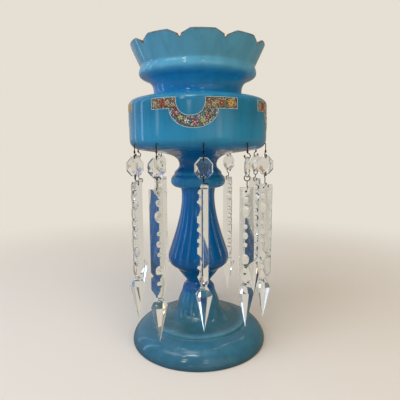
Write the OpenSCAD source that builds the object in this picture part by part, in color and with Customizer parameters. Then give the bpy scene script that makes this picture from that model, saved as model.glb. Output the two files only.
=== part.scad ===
// Mantel lustre: an opaline glass vase on a baluster stem, hung with ten crystal drops.
// Millimetres, +Z up, origin on the table under the middle of the foot, front towards -Y.

/* [Foot] */
// Height of the foot, from the table to the waist under the stem
foot_h = 64.5; // [60:0.5:80]
// Largest radius of the foot
foot_r = 71.4; // [66:0.1:85]
// Height of the foot's upright edge
foot_edge_h = 5.2; // [3:0.1:6]
// Roundness of the edge where it meets the table
foot_edge_r = 1.4; // [0.8:0.1:2]
// Width of the ground ring that the foot stands on
foot_ring_w = 8; // [5:0.5:10]
// Radius of the step on top of the foot
step_r = 49; // [44:0.5:54]
// Height of the step's upper edge above the table
step_z = 22.4; // [19:0.1:24]
// Rise of the step
step_rise = 3; // [1.5:0.1:4]
// Radius of the bell that rises from the foot, where it turns upright
bell_r = 21.8; // [19:0.1:25]
// Height at which the bell turns upright
bell_z = 41; // [36:0.5:46]
// Radius of the collar on top of the bell
collar_r = 18.2; // [16:0.1:20]
// Distance of the collar below the waist
collar_down = 7.5; // [5:0.5:10]
// Radius of the waist between foot and stem
waist_r = 13.2; // [10:0.1:16]
// Thickness of the foot's glass
foot_wall = 5; // [3.5:0.1:6.5]

/* [Stem] */
// Height of the stem, from the waist to the knop
stem_h = 100.5; // [90:0.5:130]
// Radius of the small saucer under the baluster
saucer_r = 20.4; // [17:0.1:22]
// Height of the saucer's edge above the waist
saucer_up = 7.5; // [5:0.1:10]
// Largest radius of the baluster
bulb_r = 33; // [28:0.1:38]
// Height of the baluster's largest radius above the waist
bulb_up = 25.5; // [20:0.5:32]
// Smallest radius of the baluster's shoulder
shaft_r = 17.1; // [14:0.1:20]
// Distance of the smallest radius below the knop
shaft_down = 8; // [5:0.5:14]
// Radius where stem and knop meet
stem_top_r = 18.3; // [15:0.1:22]

/* [Knop] */
// Height of the knop
knop_h = 24; // [20:0.5:30]
// Largest radius of the knop
knop_r = 28.3; // [25:0.1:33]
// Height of its largest radius above the stem
knop_up = 7; // [5:0.5:9]
// Radius of the ledge above the roll
ledge_r = 24.8; // [22:0.1:27]
// Height of the ledge above the stem
ledge_up = 13.5; // [12:0.1:16]
// Height of the ledge's upright edge
ledge_h = 1.6; // [1:0.1:2.5]
// How far the ledge leans in
ledge_in = 0.3; // [0:0.1:1]
// Radius where knop and bowl meet
bowl_seat_r = 19.4; // [16:0.1:22]

/* [Bowl] */
// Thickness of the bowl's glass
wall = 4; // [3:0.1:5]
// Largest radius of the drum
drum_r = 69.4; // [64:0.1:80]
// Height of the underside above the knop, where it spreads out
under_up = 11.3; // [9:0.1:14]
// Radius at which the underside begins to spread
under_r = 35; // [30:0.5:40]
// Width of the drum's lower corner, from the underside out to the upright side
corner_w = 11.4; // [9:0.1:14]
// Rise of the underside out to the corner
under_rise = 3.3; // [2:0.1:5]
// Height of the lower corner
corner_h = 11; // [8:0.5:14]
// Height of the drum's upright side
drum_h = 31.5; // [24:0.5:45]
// Height of the drum's rounded shoulder
shoulder_h = 8; // [6:0.5:10]
// Width of the drum's rounded shoulder
shoulder_w = 8.8; // [6:0.1:11]
// Rise of the drum's top from the shoulder to the neck
top_rise = 3.5; // [2:0.1:5]
// Smallest radius of the neck
neck_r = 44.2; // [40:0.1:48]
// How much wider the neck is at its foot
neck_lean = 0.6; // [0:0.1:2]
// Height of the neck
neck_h = 14.5; // [14:0.5:24]
// Largest radius of the bead above the neck
bead_r = 58.6; // [55:0.1:62]
// Height of the bead
bead_h = 12; // [10:0.5:15]
// Width of the bead's rounded underside
bead_w = 7.6; // [6:0.1:9]
// Extra thickness of the glass at the bead
bead_fill = 0.6; // [0:0.1:1.5]
// Radius of the crease between bead and rim
crease_r = 56.8; // [53:0.1:58]
// Thickness of the glass at the rim
rim_wall = 3.2; // [2.5:0.1:4]
// Radius of the rim's outer edge
rim_r = 66.6; // [61:0.1:72]
// Height of the flaring rim
rim_h = 21; // [14:0.5:26]

/* [Scallops] */
// Number of scallops round the rim
scallops = 10; // [8:1:14]
// Width of a scallop's flat top
scallop_top_w = 21; // [14:0.5:24]
// Depth of the cut shoulders between two scallops
scallop_depth = 4.4; // [3:0.1:8]
// Radius of the small notch between two scallops
notch_r = 1.4; // [0.8:0.1:2]
// Direction of the first notch, measured from the front
notch_turn = 22.3; // [0:0.1:36]

/* [Wire] */
// Radius of the pin wire
wire_r = 0.5; // [0.35:0.05:0.55]
// Radius of a pin's head
head_r = 0.95; // [0.8:0.05:1.2]
// Radius of the loops through the buttons
loop_r = 2.6; // [2.5:0.1:3.2]
// Radius of the wire's square bends, to the middle of the wire
bend_r = 1.2; // [0.9:0.1:1.4]
// Radius of the wire's last wraps above a loop
wrap_r = 0.95; // [0.8:0.05:1.2]
// Length of those wraps
wrap_h = 1.8; // [1:0.1:2.4]
// Length of the bent tail inside the bowl
tail_len = 3; // [2:0.5:5]
// Clearance round the wire in the bowl and the prisms
pin_gap = 0.35; // [0.25:0.05:0.5]

/* [Buttons] */
// Height of a button
button_h = 18.5; // [16:0.5:22]
// Width of a button
button_w = 16.2; // [14:0.1:19]
// Thickness of a button at its middle
button_t = 4.8; // [4:0.1:5.4]
// Thickness of a button at its edge
button_edge_t = 1.4; // [1:0.1:1.8]
// Size of the flat table on a button, as a part of its outline
button_table = 0.5; // [0.4:0.05:0.6]
// Distance of a button's holes from its ends
button_hole_in = 2; // [1.8:0.1:2.3]
// Radius of a button's holes
button_hole_r = 1.2; // [1.15:0.05:1.3]
// Distance of the button's upper loop below the pin hole of the bowl
hanger_drop = 11.8; // [10:0.1:16]

/* [Prisms] */
// Width of the prism's bar
bar_w = 14.6; // [12:0.1:16]
// Thickness of the bar, from its flat back to the ridge
bar_t = 9; // [8:0.1:10]
// Width of the bevels along the bar's two side edges
bar_edge = 1; // [0.6:0.1:1.6]
// Length of the bevel that thins the bar's top end
top_bevel = 8; // [6:0.5:9]
// Thickness of the bar at its top edge
top_t = 4; // [3.5:0.1:5]
// Distance of the pin hole below the bar's top
pin_down = 3.1; // [2.6:0.1:4]
// Length of the bar's tapering lower end
bar_end = 6; // [5:0.5:8]
// Width of the neck between bar and spear, across its corners
prism_neck = 6.2; // [5:0.1:6.4]
// Height of the neck
prism_neck_h = 3; // [2:0.1:4]
// Width of the spear across its corners
spear_w = 16; // [13:0.1:17]
// Height of the spear's crown, from neck to shoulder
crown_h = 7.5; // [6:0.5:10]
// Length of the spear from its shoulder to the point
spear_len = 36; // [28:1:42]
// Length and depth of the two large notches in the ridge
large_notch = [12, 3.7];
// Length and depth of the two end notches
end_notch = [7, 2.6];
// Length and depth of the middle notch
middle_notch = [7.4, 2.6];
// Length and depth of the two small notches beside the middle one
small_notch = [5, 2.1];
// Distance of the small notches from the middle of a bar of the common length
small_notch_at = 9; // [8.5:0.1:11]
// Distance of the large notches from its middle
large_notch_at = 23.6; // [21:0.1:25]
// Distance of the end notches from its middle
end_notch_at = 35; // [34.5:0.1:36]
// Common length of a bar
common_bar = 92; // [85:1:100]

/* [Hidden] */
$fn = 48;
curve_steps = 8;
drop_count = 10;
drop_names = ["01", "02", "03", "04", "05", "06", "07", "08", "09", "10"];

// The drops go round from the one at the front, to the right as the front is seen
drop_turn = 4;
drop_step = 360 / drop_count;
// How far each pin hole is off the even spacing: they were drilled by eye
hole_shift = [0, 0, 0, 0, 0, 0, 0, -5, 8, 0];
// How far each button and each prism is turned from facing outwards
button_turn = [0, -130, -70, 10, -15, 8, 0, 20, 60, 40];
prism_turn = [-80, -60, -111, 30, -20, 15, -40, 25, -60, 50];
// How much each bar is longer than the common one: the drops were cut by hand
bar_extra = [-3, -4, 4, 0, 4, 1, 2, -5, 0, 7];
// Distance from a button's lower hole to the prism's top
link_len = [7, 11.4, 12, 9, 10, 8, 9, 10, 7.2, 12];
// Whether the link's head lies in front of the prism, or at the button
head_low = [true, true, false, true, false, true, true, false, true, false];

BLUE = "#3f86b8";
DEEP_BLUE = "#1d62a8";
TEAL_BLUE = "#4f8fa8";
CRYSTAL = "#dfe6e4";
DARK_WIRE = "#3a2d22";

// Heights of the joints between the pieces of glass
stem_z = foot_h;
knop_z = stem_z + stem_h;
bowl_z = knop_z + knop_h;

// Heights along the bowl
under_z = bowl_z + under_up;
corner_z = under_z + under_rise;
drum_z = corner_z + corner_h;
drum_top_z = drum_z + drum_h;
shoulder_z = drum_top_z + shoulder_h;
neck_z = shoulder_z + top_rise;
bead_z = neck_z + neck_h;
crease_z = bead_z + bead_h;
rim_z = crease_z + rim_h;

// Cubic curve between two points: the pull at each end says how far it keeps its direction there
function bow(from, to, pull) = [from, from + pull[0], to + pull[1], to];
function curve_at(p, t) = pow(1 - t, 3) * p[0] + 3 * t * pow(1 - t, 2) * p[1]
    + 3 * t * t * (1 - t) * p[2] + pow(t, 3) * p[3];
// The curve's points without its first one, and the same curve run backwards without its last one
function curve(p, steps = curve_steps) = [for (i = [1 : steps]) curve_at(p, i / steps)];
function back_along(p) = [for (i = [curve_steps : -1 : 1]) curve_at(p, i / curve_steps)];

// Pulls of the foot's curves, across and up, at their lower and upper ends
flange_pull = [[-0.3, 4.8], [8.6, -3.4]];
riser_pull = [[-1.2, 0.2], [1.6, -0.2]];
apron_pull = [[-11, 0.7], [1.6, -12]];
bell_pull = [[-1.2, 5.5], [0.5, -5]];
collar_pull = [[-0.4, 3.4], [1.2, -3.4]];
under_pull = [[-3, 8], [11, -2]];
hollow_pull = [[-11, 2], [2, -12]];
cap_pull = [[-1, 6], [6, 0]];
// Pulls of the stem's curves
saucer_pull = [[0.2, 3.5], [-0.8, -3.8]];
belly_pull = [[4.4, 2.4], [0, -12]];
shaft_pull = [[0, 14], [0, -27]];
flare_pull = [[0, 3], [-0.8, -2]];
// Pulls of the knop's curves
roll_pull = [[5.7, 0.3], [0, -5]];
roll_top_pull = [[0, 3], [2, -1.2]];
throat_pull = [[-0.6, 3.6], [0, -4.9]];
// Pulls of the bowl's curves
bowl_throat_pull = [[0.2, 6.3], [-10, -1.6]];
corner_pull = [[7, 1.1], [0, -6.6]];
shoulder_pull = [[0, 4.5], [5.9, -1.2]];
neck_pull = [[-1.3, 4.5], [-6.7, -3]];
bead_pull = [[5, 2], [0, -3]];
bead_top_pull = [[0, 2.8], [0.6, -1.4]];
inner_neck_pull = [[0, 5.5], [0, -4]];
inner_top_pull = [[-8.4, 1.6], [0, -6]];
inner_shoulder_pull = [[0, 4.4], [5.3, -0.6]];
inner_corner_pull = [[5.5, 0.9], [0, -5.5]];

// Lower corner of the drum, outside and inside, from the underside to the upright side
corner_r = drum_r - corner_w;
corner_out = bow([corner_r, corner_z], [drum_r, drum_z], corner_pull);
floor_edge = [corner_r - wall / 4, corner_z + wall];
side_foot = [drum_r - wall, drum_z + wall / 2];
corner_in = bow(floor_edge, side_foot, inner_corner_pull);

// The pin holes come out part of the way up the corner, and the drops hang just clear of it
hole_share = 0.75;
hole_out = curve_at(corner_out, hole_share);
hole_z = hole_out[1];
hang_gap = 0.6;
hang_r = hole_out[0] + hang_gap;
tail_gap = 3.4;
tail_r = drum_r - wall - tail_gap;
pin_hole_r = wire_r + pin_gap;

// Heights along a drop
upper_loop_z = hole_z - hanger_drop;
button_span = button_h - 2 * button_hole_in;
button_top_hole_z = upper_loop_z - loop_r;
button_z = button_top_hole_z - button_span / 2;
button_low_hole_z = button_z - button_span / 2;
lower_loop_z = button_low_hole_z - loop_r;

// The bar's centre of weight lies a third of its thickness in front of its back
bar_back = -bar_t / 3;
bar_ridge = bar_back + bar_t;
top_front = bar_back + top_t;
pin_front = top_front + (bar_ridge - top_front) * pin_down / top_bevel;
crank_r = 0.8;
crank_gap = 0.35;
knuckle_share = 1.06;
// The neck starts a little inside the bar, and the bar's end is that much wider than the neck
neck_bite = 1;
neck_ledge = 0.3;

function hanger_name(i) = str("drop_", drop_names[i], "_hanger");
function button_name(i) = str("drop_", drop_names[i], "_button");
function link_name(i) = str("drop_", drop_names[i], "_link");
function prism_name(i) = str("drop_", drop_names[i], "_prism");

// Blown foot: rounded flange, small step, then a bell and its collar up to the waist, hollow underneath
module foot() {
    edge_top = [foot_r, foot_edge_h];
    step_foot = [step_r + step_rise / 2, step_z - step_rise];
    step_top = [step_r - step_rise / 2, step_z];
    bell_foot = [bell_r, bell_z];
    collar = [collar_r, foot_h - collar_down];
    ring_in = foot_r - foot_edge_r - foot_ring_w;
    hollow_low = [step_r - foot_wall, step_z - foot_wall];
    hollow_side = [bell_r - foot_wall, bell_z - foot_wall];
    hollow_top = [0, bell_z + foot_wall];
    color(TEAL_BLUE) rotate_extrude() polygon(concat(
        [[ring_in, 0], [foot_r - foot_edge_r, 0]],
        [for (a = [-60 : 30 : 0]) [foot_r - foot_edge_r, foot_edge_r] + foot_edge_r * [cos(a), sin(a)]],
        [edge_top],
        curve(bow(edge_top, step_foot, flange_pull)),
        curve(bow(step_foot, step_top, riser_pull)),
        curve(bow(step_top, bell_foot, apron_pull)),
        curve(bow(bell_foot, collar, bell_pull)),
        curve(bow(collar, [waist_r, foot_h], collar_pull)),
        [[0, foot_h]],
        back_along(bow(hollow_side, hollow_top, cap_pull)),
        back_along(bow(hollow_low, hollow_side, hollow_pull)),
        back_along(bow([ring_in, 0], hollow_low, under_pull))
    ));
}

// Baluster stem on a small saucer
module stem() {
    shaft_up = stem_h - shaft_down;
    saucer_edge = [saucer_r, saucer_up];
    bulb = [bulb_r, bulb_up];
    shaft = [shaft_r, shaft_up];
    color(DEEP_BLUE) translate([0, 0, stem_z]) rotate_extrude() polygon(concat(
        [[0, 0], [waist_r, 0]],
        curve(bow([waist_r, 0], saucer_edge, saucer_pull)),
        curve(bow(saucer_edge, bulb, belly_pull)),
        curve(bow(bulb, shaft, shaft_pull), 2 * curve_steps),
        curve(bow(shaft, [stem_top_r, stem_h], flare_pull)),
        [[0, stem_h]]
    ));
}

// Knop: a roll of glass with a ledge, between stem and bowl
module knop() {
    roll = [knop_r, knop_up];
    ledge = [ledge_r, ledge_up];
    ledge_top = ledge + [-ledge_in, ledge_h];
    color(BLUE) translate([0, 0, knop_z]) rotate_extrude() polygon(concat(
        [[0, 0], [stem_top_r, 0]],
        curve(bow([stem_top_r, 0], roll, roll_pull)),
        curve(bow(roll, ledge, roll_top_pull)),
        [ledge_top],
        curve(bow(ledge_top, [bowl_seat_r, knop_h], throat_pull)),
        [[0, knop_h]]
    ));
}

// Outside of the bowl, from the knop to the rim
function bowl_outside() = let (
    seat = [bowl_seat_r, bowl_z],
    drum_top = [drum_r, drum_top_z],
    neck_foot = [neck_r + neck_lean, neck_z],
    bead_foot = [bead_r - bead_w, bead_z],
    bead = [bead_r, bead_z + bead_h / 2]
) concat(
    [seat],
    curve(bow(seat, [under_r, under_z], bowl_throat_pull)),
    [corner_out[0]],
    curve(corner_out),
    [drum_top],
    curve(bow(drum_top, [drum_r - shoulder_w, shoulder_z], shoulder_pull)),
    [neck_foot],
    curve(bow(neck_foot, bead_foot, neck_pull)),
    curve(bow(bead_foot, bead, bead_pull)),
    curve(bow(bead, [crease_r, crease_z], bead_top_pull)),
    [[rim_r, rim_z]]
);

// Inside of the bowl, from the rim down to the middle of the floor
function bowl_inside() = let (
    bead = [bead_r - wall - bead_fill, bead_z + bead_h / 2],
    neck = [neck_r - wall, neck_z + neck_h / 2],
    drum_top = [drum_r - shoulder_w - wall, shoulder_z - wall],
    side_top = [drum_r - wall, drum_top_z - wall / 2]
) concat(
    [[rim_r - rim_wall, rim_z], [crease_r - wall, crease_z]],
    back_along(bow(neck, bead, inner_neck_pull)),
    back_along(bow(drum_top, neck, inner_top_pull)),
    back_along(bow(side_top, drum_top, inner_shoulder_pull)),
    [side_top],
    back_along(corner_in),
    [floor_edge, [0, under_z + wall]]
);

// Gap between two scallops: two straight cut shoulders and a small round notch
module scallop_gap() {
    pitch = 2 * rim_r * sin(180 / scallops);
    half = (pitch - scallop_top_w) / 2;
    over = half * (1 + wall / scallop_depth);
    inner = crease_r - wall;
    translate([inner, 0, 0]) rotate([90, 0, 90]) linear_extrude(rim_r + wall - inner) {
        polygon([[-over, wall], [0, -scallop_depth], [over, wall]]);
        translate([0, -scallop_depth]) circle(notch_r);
    }
}

// Bowl: drum, neck, bead and scalloped rim, with a pin hole for each drop
module bowl() {
    color(BLUE) difference() {
        rotate_extrude() polygon(concat([[0, bowl_z]], bowl_outside(), bowl_inside()));
        for (i = [0 : scallops - 1])
            rotate([0, 0, notch_turn - 90 + i * 360 / scallops]) translate([0, 0, rim_z]) scallop_gap();
        for (i = [0 : drop_count - 1])
            facing(i) translate([tail_r, 0, hole_z]) rotate([0, 90, 0])
                cylinder(h = drum_r - tail_r + wall, r = pin_hole_r);
    }
}

// Places its children at a drop: +X points outwards
module facing(i) {
    rotate([0, 0, drop_turn + i * drop_step + hole_shift[i] - 90]) children();
}
module at_drop(i) {
    facing(i) translate([hang_r, 0, 0]) children();
}

// Straight wire between two points, and a square bend or a loop of wire, all in the XZ plane
module straight(from, to) {
    run = to - from;
    translate([from[0], 0, from[1]]) rotate([0, atan2(run[0], run[1]), 0])
        cylinder(h = norm(run), r = wire_r);
}
module bend(centre, r, from, sweep = 90) {
    translate([centre[0], 0, centre[1]]) rotate([90, -from, 0])
        rotate_extrude(angle = sweep) translate([r, 0]) circle(wire_r);
}
// The wire swells a little where a level run meets a bend
module knuckle(at) {
    translate([at[0], 0, at[1]]) sphere(wire_r * knuckle_share);
}
module pin_head(at) {
    translate([at[0], 0, at[1]]) sphere(head_r);
}

// Hanger: a pin bent through the wall of the bowl, then down to a hook through the button
module hanger(i) {
    tail_x = tail_r - hang_r;
    hook_top = upper_loop_z + loop_r;
    color(DARK_WIRE) {
        straight([tail_x, hole_z + bend_r], [tail_x, hole_z + bend_r + tail_len]);
        bend([tail_x + bend_r, hole_z + bend_r], bend_r, 180);
        knuckle([tail_x + bend_r, hole_z]);
        straight([tail_x + bend_r, hole_z], [-bend_r, hole_z]);
        knuckle([-bend_r, hole_z]);
        bend([-bend_r, hole_z - bend_r], bend_r, 0);
        straight([0, hook_top], [0, hole_z - bend_r]);
        translate([0, 0, hook_top]) cylinder(h = wrap_h, r = wrap_r);
        rotate([0, 0, button_turn[i]]) {
            bend([0, upper_loop_z], loop_r, 90, 270);
            pin_head([loop_r, upper_loop_z]);
        }
    }
}

// Button: a cut octagon, thin at the edge, with a hole at each end
module octagon() {
    side = tan(180 / 8);
    half_w = button_w / 2;
    half_h = button_h / 2;
    polygon([
        [half_w, half_h * side], [half_w * side, half_h],
        [-half_w * side, half_h], [-half_w, half_h * side],
        [-half_w, -half_h * side], [-half_w * side, -half_h],
        [half_w * side, -half_h], [half_w, -half_h * side]
    ]);
}
module button(i) {
    crown = (button_t - button_edge_t) / 2;
    color(CRYSTAL) rotate([0, 0, button_turn[i]]) translate([0, 0, button_z]) rotate([90, 0, 90])
    difference() {
        union() {
            linear_extrude(button_edge_t, center = true) octagon();
            for (side = [0, 1]) mirror([0, 0, side])
                translate([0, 0, button_edge_t / 2]) linear_extrude(crown, scale = button_table) octagon();
        }
        for (end = [-1, 1])
            translate([0, end * button_span / 2, 0])
                cylinder(h = 2 * button_t, r = button_hole_r, center = true);
    }
}

// Link: a pin from the button's lower hole, round the back of the prism and through it
module link(i) {
    prism_top = button_low_hole_z - link_len[i];
    pin_z = prism_top - pin_down;
    crank_z = prism_top + crank_gap + wire_r;
    back_x = bar_back - crank_gap - wire_r;
    front_x = pin_front + crank_gap + wire_r;
    eye_low = lower_loop_z - loop_r;
    color(DARK_WIRE) {
        rotate([0, 0, button_turn[i]]) {
            bend([0, lower_loop_z], loop_r, 0, head_low[i] ? 360 : 270);
            if (!head_low[i]) pin_head([loop_r, lower_loop_z]);
        }
        rotate([0, 0, prism_turn[i]]) {
            straight([0, crank_z + crank_r], [0, eye_low]);
            bend([-crank_r, crank_z + crank_r], crank_r, 270);
            knuckle([-crank_r, crank_z]);
            straight([back_x + crank_r, crank_z], [-crank_r, crank_z]);
            knuckle([back_x + crank_r, crank_z]);
            bend([back_x + crank_r, crank_z - crank_r], crank_r, 90);
            straight([back_x, pin_z + crank_r], [back_x, crank_z - crank_r]);
            bend([back_x + crank_r, pin_z + crank_r], crank_r, 180);
            knuckle([back_x + crank_r, pin_z]);
            straight([back_x + crank_r, pin_z], [front_x, pin_z]);
            if (head_low[i]) pin_head([front_x, pin_z]);
        }
    }
}

// Scoop of a given length and depth across the ridge
module scoop(size) {
    r = size[0] * size[0] / (8 * size[1]) + size[1] / 2;
    translate([bar_ridge - size[1] + r, 0, 0]) rotate([90, 0, 0])
        cylinder(h = 2 * bar_w, r = r, center = true);
}

// Bar of the prism, hanging down from z = 0: flat back, notched ridge in front, thinned at both ends
module bar(len) {
    half_w = bar_w / 2;
    half_end = prism_neck / 2 + neck_ledge;
    edge_front = bar_back + bar_edge;
    spread = len / common_bar;
    difference() {
        intersection() {
            translate([0, 0, -len]) linear_extrude(len) polygon([
                [bar_back, half_w - bar_edge], [edge_front, half_w], [bar_ridge, 0],
                [edge_front, -half_w], [bar_back, bar_edge - half_w]
            ]);
            rotate([90, 0, 0]) linear_extrude(2 * bar_w, center = true) polygon([
                [bar_back, 0], [top_front, 0], [bar_ridge, -top_bevel], [bar_ridge, bar_end - len],
                [half_end, -len], [bar_back, -len]
            ]);
            rotate([90, 0, 90]) linear_extrude(4 * bar_t, center = true) polygon([
                [-half_w, 0], [half_w, 0], [half_w, bar_end - len], [half_end, -len],
                [-half_end, -len], [-half_w, bar_end - len]
            ]);
        }
        translate([0, 0, -len / 2]) {
            scoop(middle_notch);
            for (side = [-1, 1]) {
                translate([0, 0, side * small_notch_at * spread]) scoop(small_notch);
                translate([0, 0, side * large_notch_at * spread]) scoop(large_notch);
                translate([0, 0, side * end_notch_at * spread]) scoop(end_notch);
            }
        }
    }
}

// Spear below the bar, from z = 0 down: six-sided rings for the neck and the shoulder, then the point
module spear() {
    sides = 6;
    shoulder = -prism_neck_h - crown_h;
    rings = [[prism_neck / 2, neck_bite], [prism_neck / 2, -prism_neck_h], [spear_w / 2, shoulder]];
    last = len(rings) - 1;
    function corner(ring, k) = ring * sides + k % sides;
    polyhedron(
        points = concat(
            [for (ring = rings) for (k = [0 : sides - 1]) let (a = (k + 0.5) * 360 / sides)
                [ring[0] * cos(a), ring[0] * sin(a), ring[1]]],
            [[0, 0, shoulder - spear_len]]
        ),
        faces = concat(
            [[for (k = [sides - 1 : -1 : 0]) k]],
            [for (ring = [0 : last - 1]) for (k = [0 : sides - 1])
                [corner(ring, k), corner(ring, k + 1), corner(ring + 1, k + 1), corner(ring + 1, k)]],
            [for (k = [0 : sides - 1]) [corner(last, k), corner(last, k + 1), sides * len(rings)]]
        )
    );
}

// Prism: bar and spear cut from one piece of crystal, with a pin hole near the top
module prism(i) {
    top_z = button_low_hole_z - link_len[i];
    len = common_bar + bar_extra[i];
    color(CRYSTAL) rotate([0, 0, prism_turn[i]]) translate([0, 0, top_z]) difference() {
        union() {
            bar(len);
            translate([0, 0, -len]) spear();
        }
        translate([0, 0, -pin_down]) rotate([0, 90, 0])
            cylinder(h = 4 * bar_t, r = pin_hole_r, center = true);
    }
}

foot();
stem();
knop();
bowl();
for (i = [0 : drop_count - 1]) {
    at_drop(i) hanger(i);
    at_drop(i) button(i);
    at_drop(i) link(i);
    at_drop(i) prism(i);
}
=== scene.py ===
import math
import random

import bmesh
import bpy
import numpy as np
from mathutils import Matrix, Vector


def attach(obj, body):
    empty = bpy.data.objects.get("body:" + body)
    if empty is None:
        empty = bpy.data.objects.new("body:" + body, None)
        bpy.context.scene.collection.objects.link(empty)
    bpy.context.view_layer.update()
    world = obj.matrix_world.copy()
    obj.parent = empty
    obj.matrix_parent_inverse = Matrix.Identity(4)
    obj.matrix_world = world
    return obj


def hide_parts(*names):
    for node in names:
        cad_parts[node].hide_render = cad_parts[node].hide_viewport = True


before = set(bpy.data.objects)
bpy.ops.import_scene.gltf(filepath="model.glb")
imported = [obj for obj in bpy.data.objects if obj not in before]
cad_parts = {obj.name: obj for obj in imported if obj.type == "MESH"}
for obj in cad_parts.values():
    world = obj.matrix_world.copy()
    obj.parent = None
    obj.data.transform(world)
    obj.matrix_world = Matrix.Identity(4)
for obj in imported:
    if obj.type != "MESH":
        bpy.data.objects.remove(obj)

bl_info = {
    "name": "Mantel lustre",
    "version": (1, 0, 0),
    "blender": (4, 5, 0),
    "location": "View3D > Sidebar > Lustre",
    "description": "Dresses a mantel lustre: opaline glass, enamel band, gilding, cut crystal and wire",
    "category": "Object",
}

MM = 0.001
FULL_TURN = 2 * math.pi
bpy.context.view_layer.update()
VASE = "vase"
DROPS = ["%02d" % number for number in range(1, 11)]


def linear(text):
    """Linear colour of an sRGB hex value."""
    parts = [int(text[k:k + 2], 16) / 255 for k in (1, 3, 5)]
    return tuple(c / 12.92 if c <= 0.04045 else ((c + 0.055) / 1.055) ** 2.4 for c in parts)


def colour_prop(name, description, text):
    return bpy.props.FloatVectorProperty(
        name=name, description=description, subtype="COLOR", size=3, min=0, max=1, default=linear(text))


def length_prop(name, description, mm, low=0.0):
    return bpy.props.FloatProperty(
        name=name, description=description, subtype="DISTANCE", unit="LENGTH", min=low * MM, default=mm * MM)


def angle_prop(name, description, degrees):
    return bpy.props.FloatProperty(
        name=name, description=description, subtype="ANGLE", default=math.radians(degrees))


def power_prop(name, description, watts):
    return bpy.props.FloatProperty(name=name, description=description, unit="POWER", min=0, default=watts)


class LustreGlass(bpy.types.PropertyGroup):
    """Colours and gilding of the blown glass"""
    rim_blue: colour_prop("Rim blue", "Thin glass of the flaring rim", "#4f92ad")
    # The bead's pale blue is partly the paler thin glass and partly painted highlight, the light its top
    # catches from above.
    bead_blue: colour_prop("Bead blue", "Pale glass of the bead under the rim", "#559bb6")
    neck_blue: colour_prop("Neck blue", "Thicker glass of the neck", "#2083b8")
    drum_blue: colour_prop("Drum blue", "Glass of the drum's side", "#2d82a6")
    # The underside's deep blue is painted shade under the drum.
    under_blue: colour_prop("Underside blue", "Thick glass under the drum", "#0a5c95")
    stem_blue: colour_prop("Stem blue", "Solid glass of the baluster stem", "#015b96")
    knop_blue: colour_prop("Knop blue", "Glass of the knop", "#2079a6")
    foot_blue: colour_prop("Foot blue", "Glass of the foot", "#3b7288")
    gilt: colour_prop("Gilt", "Worn gold line along the lip", "#6e5431")
    gilt_width: length_prop("Gilt width", "Width of the gold line along the lip", 0.7)


class LustreEnamel(bpy.types.PropertyGroup):
    """Sizes and colours of the painted band on the drum"""
    motifs: bpy.props.IntProperty(
        name="Motifs", description="Painted motifs round the drum", min=1, default=4)
    turn: angle_prop("Turn", "Direction of the first motif from the front", -3.0)
    half_width: length_prop("Half width", "Half the length of a motif along the drum", 39.4)
    bar_low: length_prop("Bar low edge", "Height of the bars' lower edge above the table", 239.3)
    bar_high: length_prop("Bar high edge", "Height of the bars' upper edge above the table", 248.7)
    swag_out: length_prop("Swag outer half width", "Half the outer width of the hanging swag", 21.5)
    swag_low: length_prop("Swag depth", "Drop of the swag below the bars", 16.3)
    swag_in: length_prop("Swag inner half width", "Half the inner width of the swag", 13.0)
    swag_shift: length_prop("Swag opening shift", "How far the bare field lies left of the middle", 2.6)
    swag_open: length_prop("Swag opening", "Depth of the bare field inside the swag", 15.2)
    line: length_prop("Outline width", "Width of the raised outline", 0.58)
    outline: colour_prop("Outline", "Pale raised outline", "#a6bbc0")
    red: colour_prop("Red", "Red petals", "#973829")
    rust: colour_prop("Rust", "Rust brown petals of the bars", "#93482c")
    orange: colour_prop("Orange", "Orange petals", "#c4742e")
    yellow: colour_prop("Yellow", "Yellow petals and hearts", "#cdb255")
    white: colour_prop("White", "White petals and dots", "#d8d2c2")
    straw: colour_prop("Straw", "Fine pale strokes of the bars", "#bcac8c")
    green: colour_prop("Green", "Leaves", "#56805a")
    ground: colour_prop("Ground", "Dark ground between the flowers", "#17384f")


class LustreDrops(bpy.types.PropertyGroup):
    """Finish of the crystal and the wire"""
    crystal: colour_prop("Crystal", "Tint of the cut lead crystal", "#f7f8f5")
    wire: colour_prop("Wire", "Tarnished brass wire", "#4a3a2a")
    wire_radius: length_prop("Wire radius", "Radius of the pin wire", 0.44, 0.1)


class LustreStage(bpy.types.PropertyGroup):
    """Camera, floor and light"""
    floor: colour_prop("Floor", "Plain pale floor and backdrop", "#e6dfd3")
    # What polished glass mirrors of the floor is painted: a dimmer, warmer glow, darker in front as painted
    # shade.
    mirrored: colour_prop("Mirrored floor", "Floor as the polished glass mirrors it", "#877b6b")
    mirrored_back: colour_prop("Mirrored floor behind", "The same floor behind the object", "#8f8475")
    key_power: power_prop("Key power", "Power of the large soft light", 7.3)
    window_power: power_prop("Window power", "Power of the tall window light", 0.8)
    fill_power: power_prop("Fill power", "Power of the front fill", 2.7)
    top_power: power_prop("Top power", "Power of the overhead light", 7.4)
    eye: bpy.props.FloatVectorProperty(
        name="Eye", description="Place of the camera", subtype="TRANSLATION", unit="LENGTH", size=3,
        default=(0.0, -0.3935, 0.2072))
    pitch: angle_prop("Pitch", "How far the camera looks down", 8.09)
    yaw: angle_prop("Yaw", "How far the camera looks to the right", 0.28)
    roll: angle_prop("Roll", "Lean of the camera", -0.24)
    lens: bpy.props.FloatProperty(
        name="Lens", description="Focal length", unit="CAMERA", min=1, default=33.88)


# Turned shapes, as radius and height in millimetres. Knop and bowl keep the curves of the solids. The foot's
# flange, step, collar and waist and the stem's lower curve are closer to the photograph than the solids are.

STEM_Z = 64.5
KNOP_Z = 165
BOWL_Z = 189
WAIST_R = 12.2
STEM_TOP_R = 18.3
SEAT_R = 19.4
DRUM_R = 69.4
CREASE = (56.8, 284.1)
RIM = (66.6, 305.1)
INNER_CREASE = (52.8, 284.1)
INNER_RIM = (63.4, 305.1)
LONG_CURVE_STEPS = 48


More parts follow.
